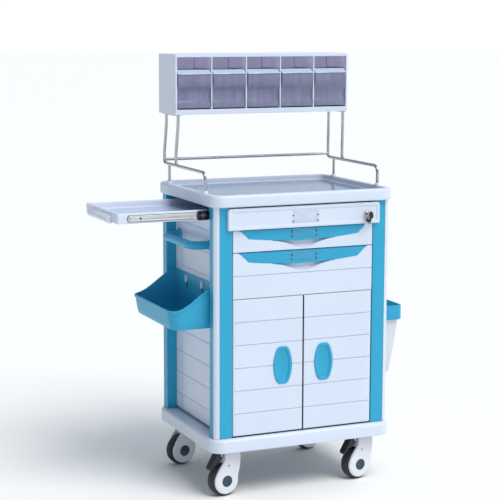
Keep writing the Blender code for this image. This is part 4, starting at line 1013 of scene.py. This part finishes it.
# ---------------------------------------------------------------- casters
def cover_outline():
    """Side view of a caster cover (along, up) from the swivel: a disc drawn up into a head."""
    disc = np.stack(arc(150, 372, 40), -1) * 0.0425 + (-0.022, 0.050)
    head = np.array([(0.0285, 0.096), (0.0300, 0.112), (0.0300, 0.134), (0.0260, 0.1420),
                     (-0.0245, 0.1420), (-0.0285, 0.1360), (-0.0290, 0.1180), (-0.0370, 0.1050),
                     (-0.0520, 0.0850)])
    path = np.concatenate([disc, head])
    for _ in range(2):             # each round cuts every corner a quarter of the way along its sides
        path = np.stack([path * 0.75 + np.roll(path, -1, 0) * 0.25,
                         path * 0.25 + np.roll(path, -1, 0) * 0.75], 1).reshape(-1, 2)
    return path


def make_caster(name):
    """Domed covers over a fork head, tyre on a grey core, hub caps, pin and bolt."""
    body, wheel = "caster_" + name, "wheel_" + name
    swivel = np.array(JOINTS[body + "_swivel"]["pos_m"])
    hub = np.array(JOINTS[wheel + "_spin"]["pos_m"])
    ahead = (swivel - hub) * (1, 1, 0)
    ahead /= np.linalg.norm(ahead)
    axle = np.array([-ahead[1], ahead[0], 0.0])
    base = np.array([swivel[0], swivel[1], 0.0])

    def place(u, d, v):
        """The world's point for a place ahead of the swivel, along the axle and up."""
        return base + u[..., None] * ahead + d[..., None] * axle + v[..., None] * np.array([0, 0, 1.0])
    outline = cover_outline()
    inner, shapes = 0.0178, []
    for side in (-1, 1):
        c, s = arc(0, 90, 7)
        sizes = [(1.0, 0.0)] + [(1 - 0.10 * (1 - a), 0.0022 + 0.0050 * b) for a, b in zip(c, s)]
        sizes += [(0.70, 0.0080), (0.40, 0.0083)]
        rows = [((outline - (-0.015, 0.070)) * k + (-0.015, 0.070), inner + h) for k, h in sizes]
        rows = np.array([np.column_stack([flat, np.full(len(flat), side * h)]) for flat, h in rows])
        shapes.append(skin(place(rows[..., 0], rows[..., 2], rows[..., 1])))
    head = levels((-0.0275, -0.0195), (0.0285, 0.0195), 0.006,
                  [(0.001, 0.1035), (0.0, 0.1045), (0.0, 0.1395), (0.001, 0.1415), (0.003, 0.1422)])
    shapes.append(skin(place(head[..., 0], head[..., 1], head[..., 2])))
    piece(body + "_covers", body, COVER_WHITE, shapes, ["caster_housing_" + name], 45)
    face = inner + 0.0080
    dark, steel = [], []
    for side in (-1, 1):
        profile = [(0.0, 0.0010), (0.0130, 0.0010), (0.0138, 0.0016), (0.0150, 0.0016),
                   (0.0156, 0.0009), (0.0178, 0.0007), (0.0185, 0.0), (0.0185, -0.003), (0.0, -0.003)]
        dark.append(skin(turned(profile, hub + side * axle * face, axle * side, 48)))
        pin = base + ahead * -0.016 + axle * side * (face - 0.0004) + (0, 0, 0.099)
        profile = [(0.0, 0.0006), (0.0030, 0.0008), (0.0042, 0.0002), (0.0046, -0.003), (0.0, -0.003)]
        dark.append(skin(turned(profile, pin, axle * side, 20)))
    piece(body + "_hub_caps", body, HUB_BLUE, dark)
    bolt = base + ahead * -0.0335 + axle * -0.0125 + (0, 0, 0.1335)
    steel.append(skin(turned([(0.0, -0.006), (0.0030, -0.006), (0.0036, -0.0054), (0.0036, 0.006),
                              (0.0, 0.006)], bolt, (0, 0, 1), 6)))
    steel.append(skin(turned([(0.014, 0.0), (0.024, 0.0), (0.024, 0.0011), (0.014, 0.0011)],
                             base + (0, 0, 0.1423), (0, 0, 1), 40), ring=True))
    piece(body + "_hardware", body, CHROME, steel)
    tread = [(0.0330, 0.0), (0.0330, 0.0125), (0.0400, 0.0140), (0.0445, 0.0152), (0.0474, 0.0146),
             (0.0491, 0.0122), (0.0498, 0.0075), (0.0500, 0.0)]
    profile = tread + [(r, -h) for r, h in tread[-2:0:-1]]
    piece(wheel + "_tyre", wheel, TYRE, [skin(turned(profile, hub, axle, 72), ring=True)],
          [wheel])
    core = [(0.0066, 0.010), (0.0110, 0.0120), (0.0300, 0.0105), (0.0332, 0.0125), (0.0332, -0.0125),
            (0.0300, -0.0105), (0.0110, -0.0120), (0.0066, -0.010)]
    piece(wheel + "_core", wheel, GREY, [skin(turned(core, hub, axle, 48), ring=True)])


# ---------------------------------------------------------------- build all
make_worktop()
make_base()
make_panels()
for corner in ("front_left", "front_right", "back_left", "back_right"):
    eased("post_" + corner, "cart", BLUE, 0.0014)
    eased("corner_strip_" + corner, "cart", STRIP_WHITE, 0.0005, 50.0, 2)
    make_caster(corner)
make_top_drawer()
make_drawer(2)
make_drawer(3)
make_door("left", -1)
make_door("right", 1)
make_lock()
make_shelf()
make_rail()
make_stands()
eased("bin_cabinet", "cart", WHITE, 0.0010)
make_bins()
make_handle()
make_basket()
make_waste()
for corner in ("front_left", "front_right"):
    eased("brake_pedal_" + corner, "brake_" + corner, BLACK, 0.0016, 20.0)
for names, finish in ((("underframe", "divider", "runner_left", "runner_right", "hinge_pin_left",
                        "hinge_pin_right"), ZINC),
                      (("shelf_channel_front", "shelf_channel_back"), BLACK)):
    for name in names:
        NODES[name].data.materials[0] = finish


# ---------------------------------------------------------------- floor, light and camera
SKY_LEFT, SKY_RIGHT, SUN = 0.24, 0.84, 2.05


def make_stage():
    """White floor, a sky that dims to the left, a broad soft sun from the front right, the camera."""
    mesh = bpy.data.meshes.new("floor")
    mesh.from_pydata([(-60, -60, 0), (60, -60, 0), (60, 60, 0), (-60, 60, 0)], [], [(0, 1, 2, 3)])
    floor = bpy.data.objects.new("floor", mesh)
    mesh.materials.append(Finish("floor_white", (0.93, 0.93, 0.93), 0.9).material)
    bpy.context.scene.collection.objects.link(floor)
    sky = bpy.data.worlds.new("studio")
    sky.use_nodes = True
    nodes, links = sky.node_tree.nodes, sky.node_tree.links
    away = nodes.new("ShaderNodeSeparateXYZ")
    links.new(nodes.new("ShaderNodeTexCoord").outputs["Generated"], away.inputs[0])

    def scaled(socket, low, high, out_low, out_high):
        """The socket's range mapped, and held, to another one."""
        ramp = nodes.new("ShaderNodeMapRange")
        for name, value in (("From Min", low), ("From Max", high), ("To Min", out_low), ("To Max", out_high)):
            ramp.inputs[name].default_value = value
        links.new(socket, ramp.inputs["Value"])
        return ramp.outputs["Result"]
    horizon = scaled(away.outputs["Z"], 0.045, 0.075, 0.55, 0.0)
    total = nodes.new("ShaderNodeMath")
    links.new(horizon, total.inputs[0])
    links.new(scaled(away.outputs["X"], -0.8, 0.5, SKY_LEFT, SKY_RIGHT), total.inputs[1])
    ground = nodes["Background"]
    ground.inputs["Color"].default_value = (0.86, 0.93, 1.0, 1.0)
    links.new(total.outputs[0], ground.inputs["Strength"])
    bpy.context.scene.world = sky
    lamp = bpy.data.lights.new("key", "SUN")
    lamp.energy, lamp.angle, lamp.color = SUN, math.radians(36), (1.0, 0.98, 0.95)
    key = bpy.data.objects.new("key", lamp)
    key.rotation_euler = (math.radians(33), 0.0, math.radians(20))
    bpy.context.scene.collection.objects.link(key)
    lens = bpy.data.cameras.new("camera")
    lens.lens, lens.sensor_width = 109.0, 36.0
    lens.clip_start, lens.clip_end = 0.1, 200.0
    camera = bpy.data.objects.new("camera", lens)
    turn = (Matrix.Rotation(math.radians(-23.506), 4, "Z") @ Matrix.Rotation(math.radians(90 - 8.690), 4, "X")
            @ Matrix.Rotation(math.radians(0.15), 4, "Z"))
    camera.matrix_world = Matrix.Translation((-1.9246, -4.4171, 1.4808)) @ turn
    bpy.context.scene.collection.objects.link(camera)
    bpy.context.scene.camera = camera
    bpy.context.scene.view_settings.view_transform = "Standard"


make_stage()
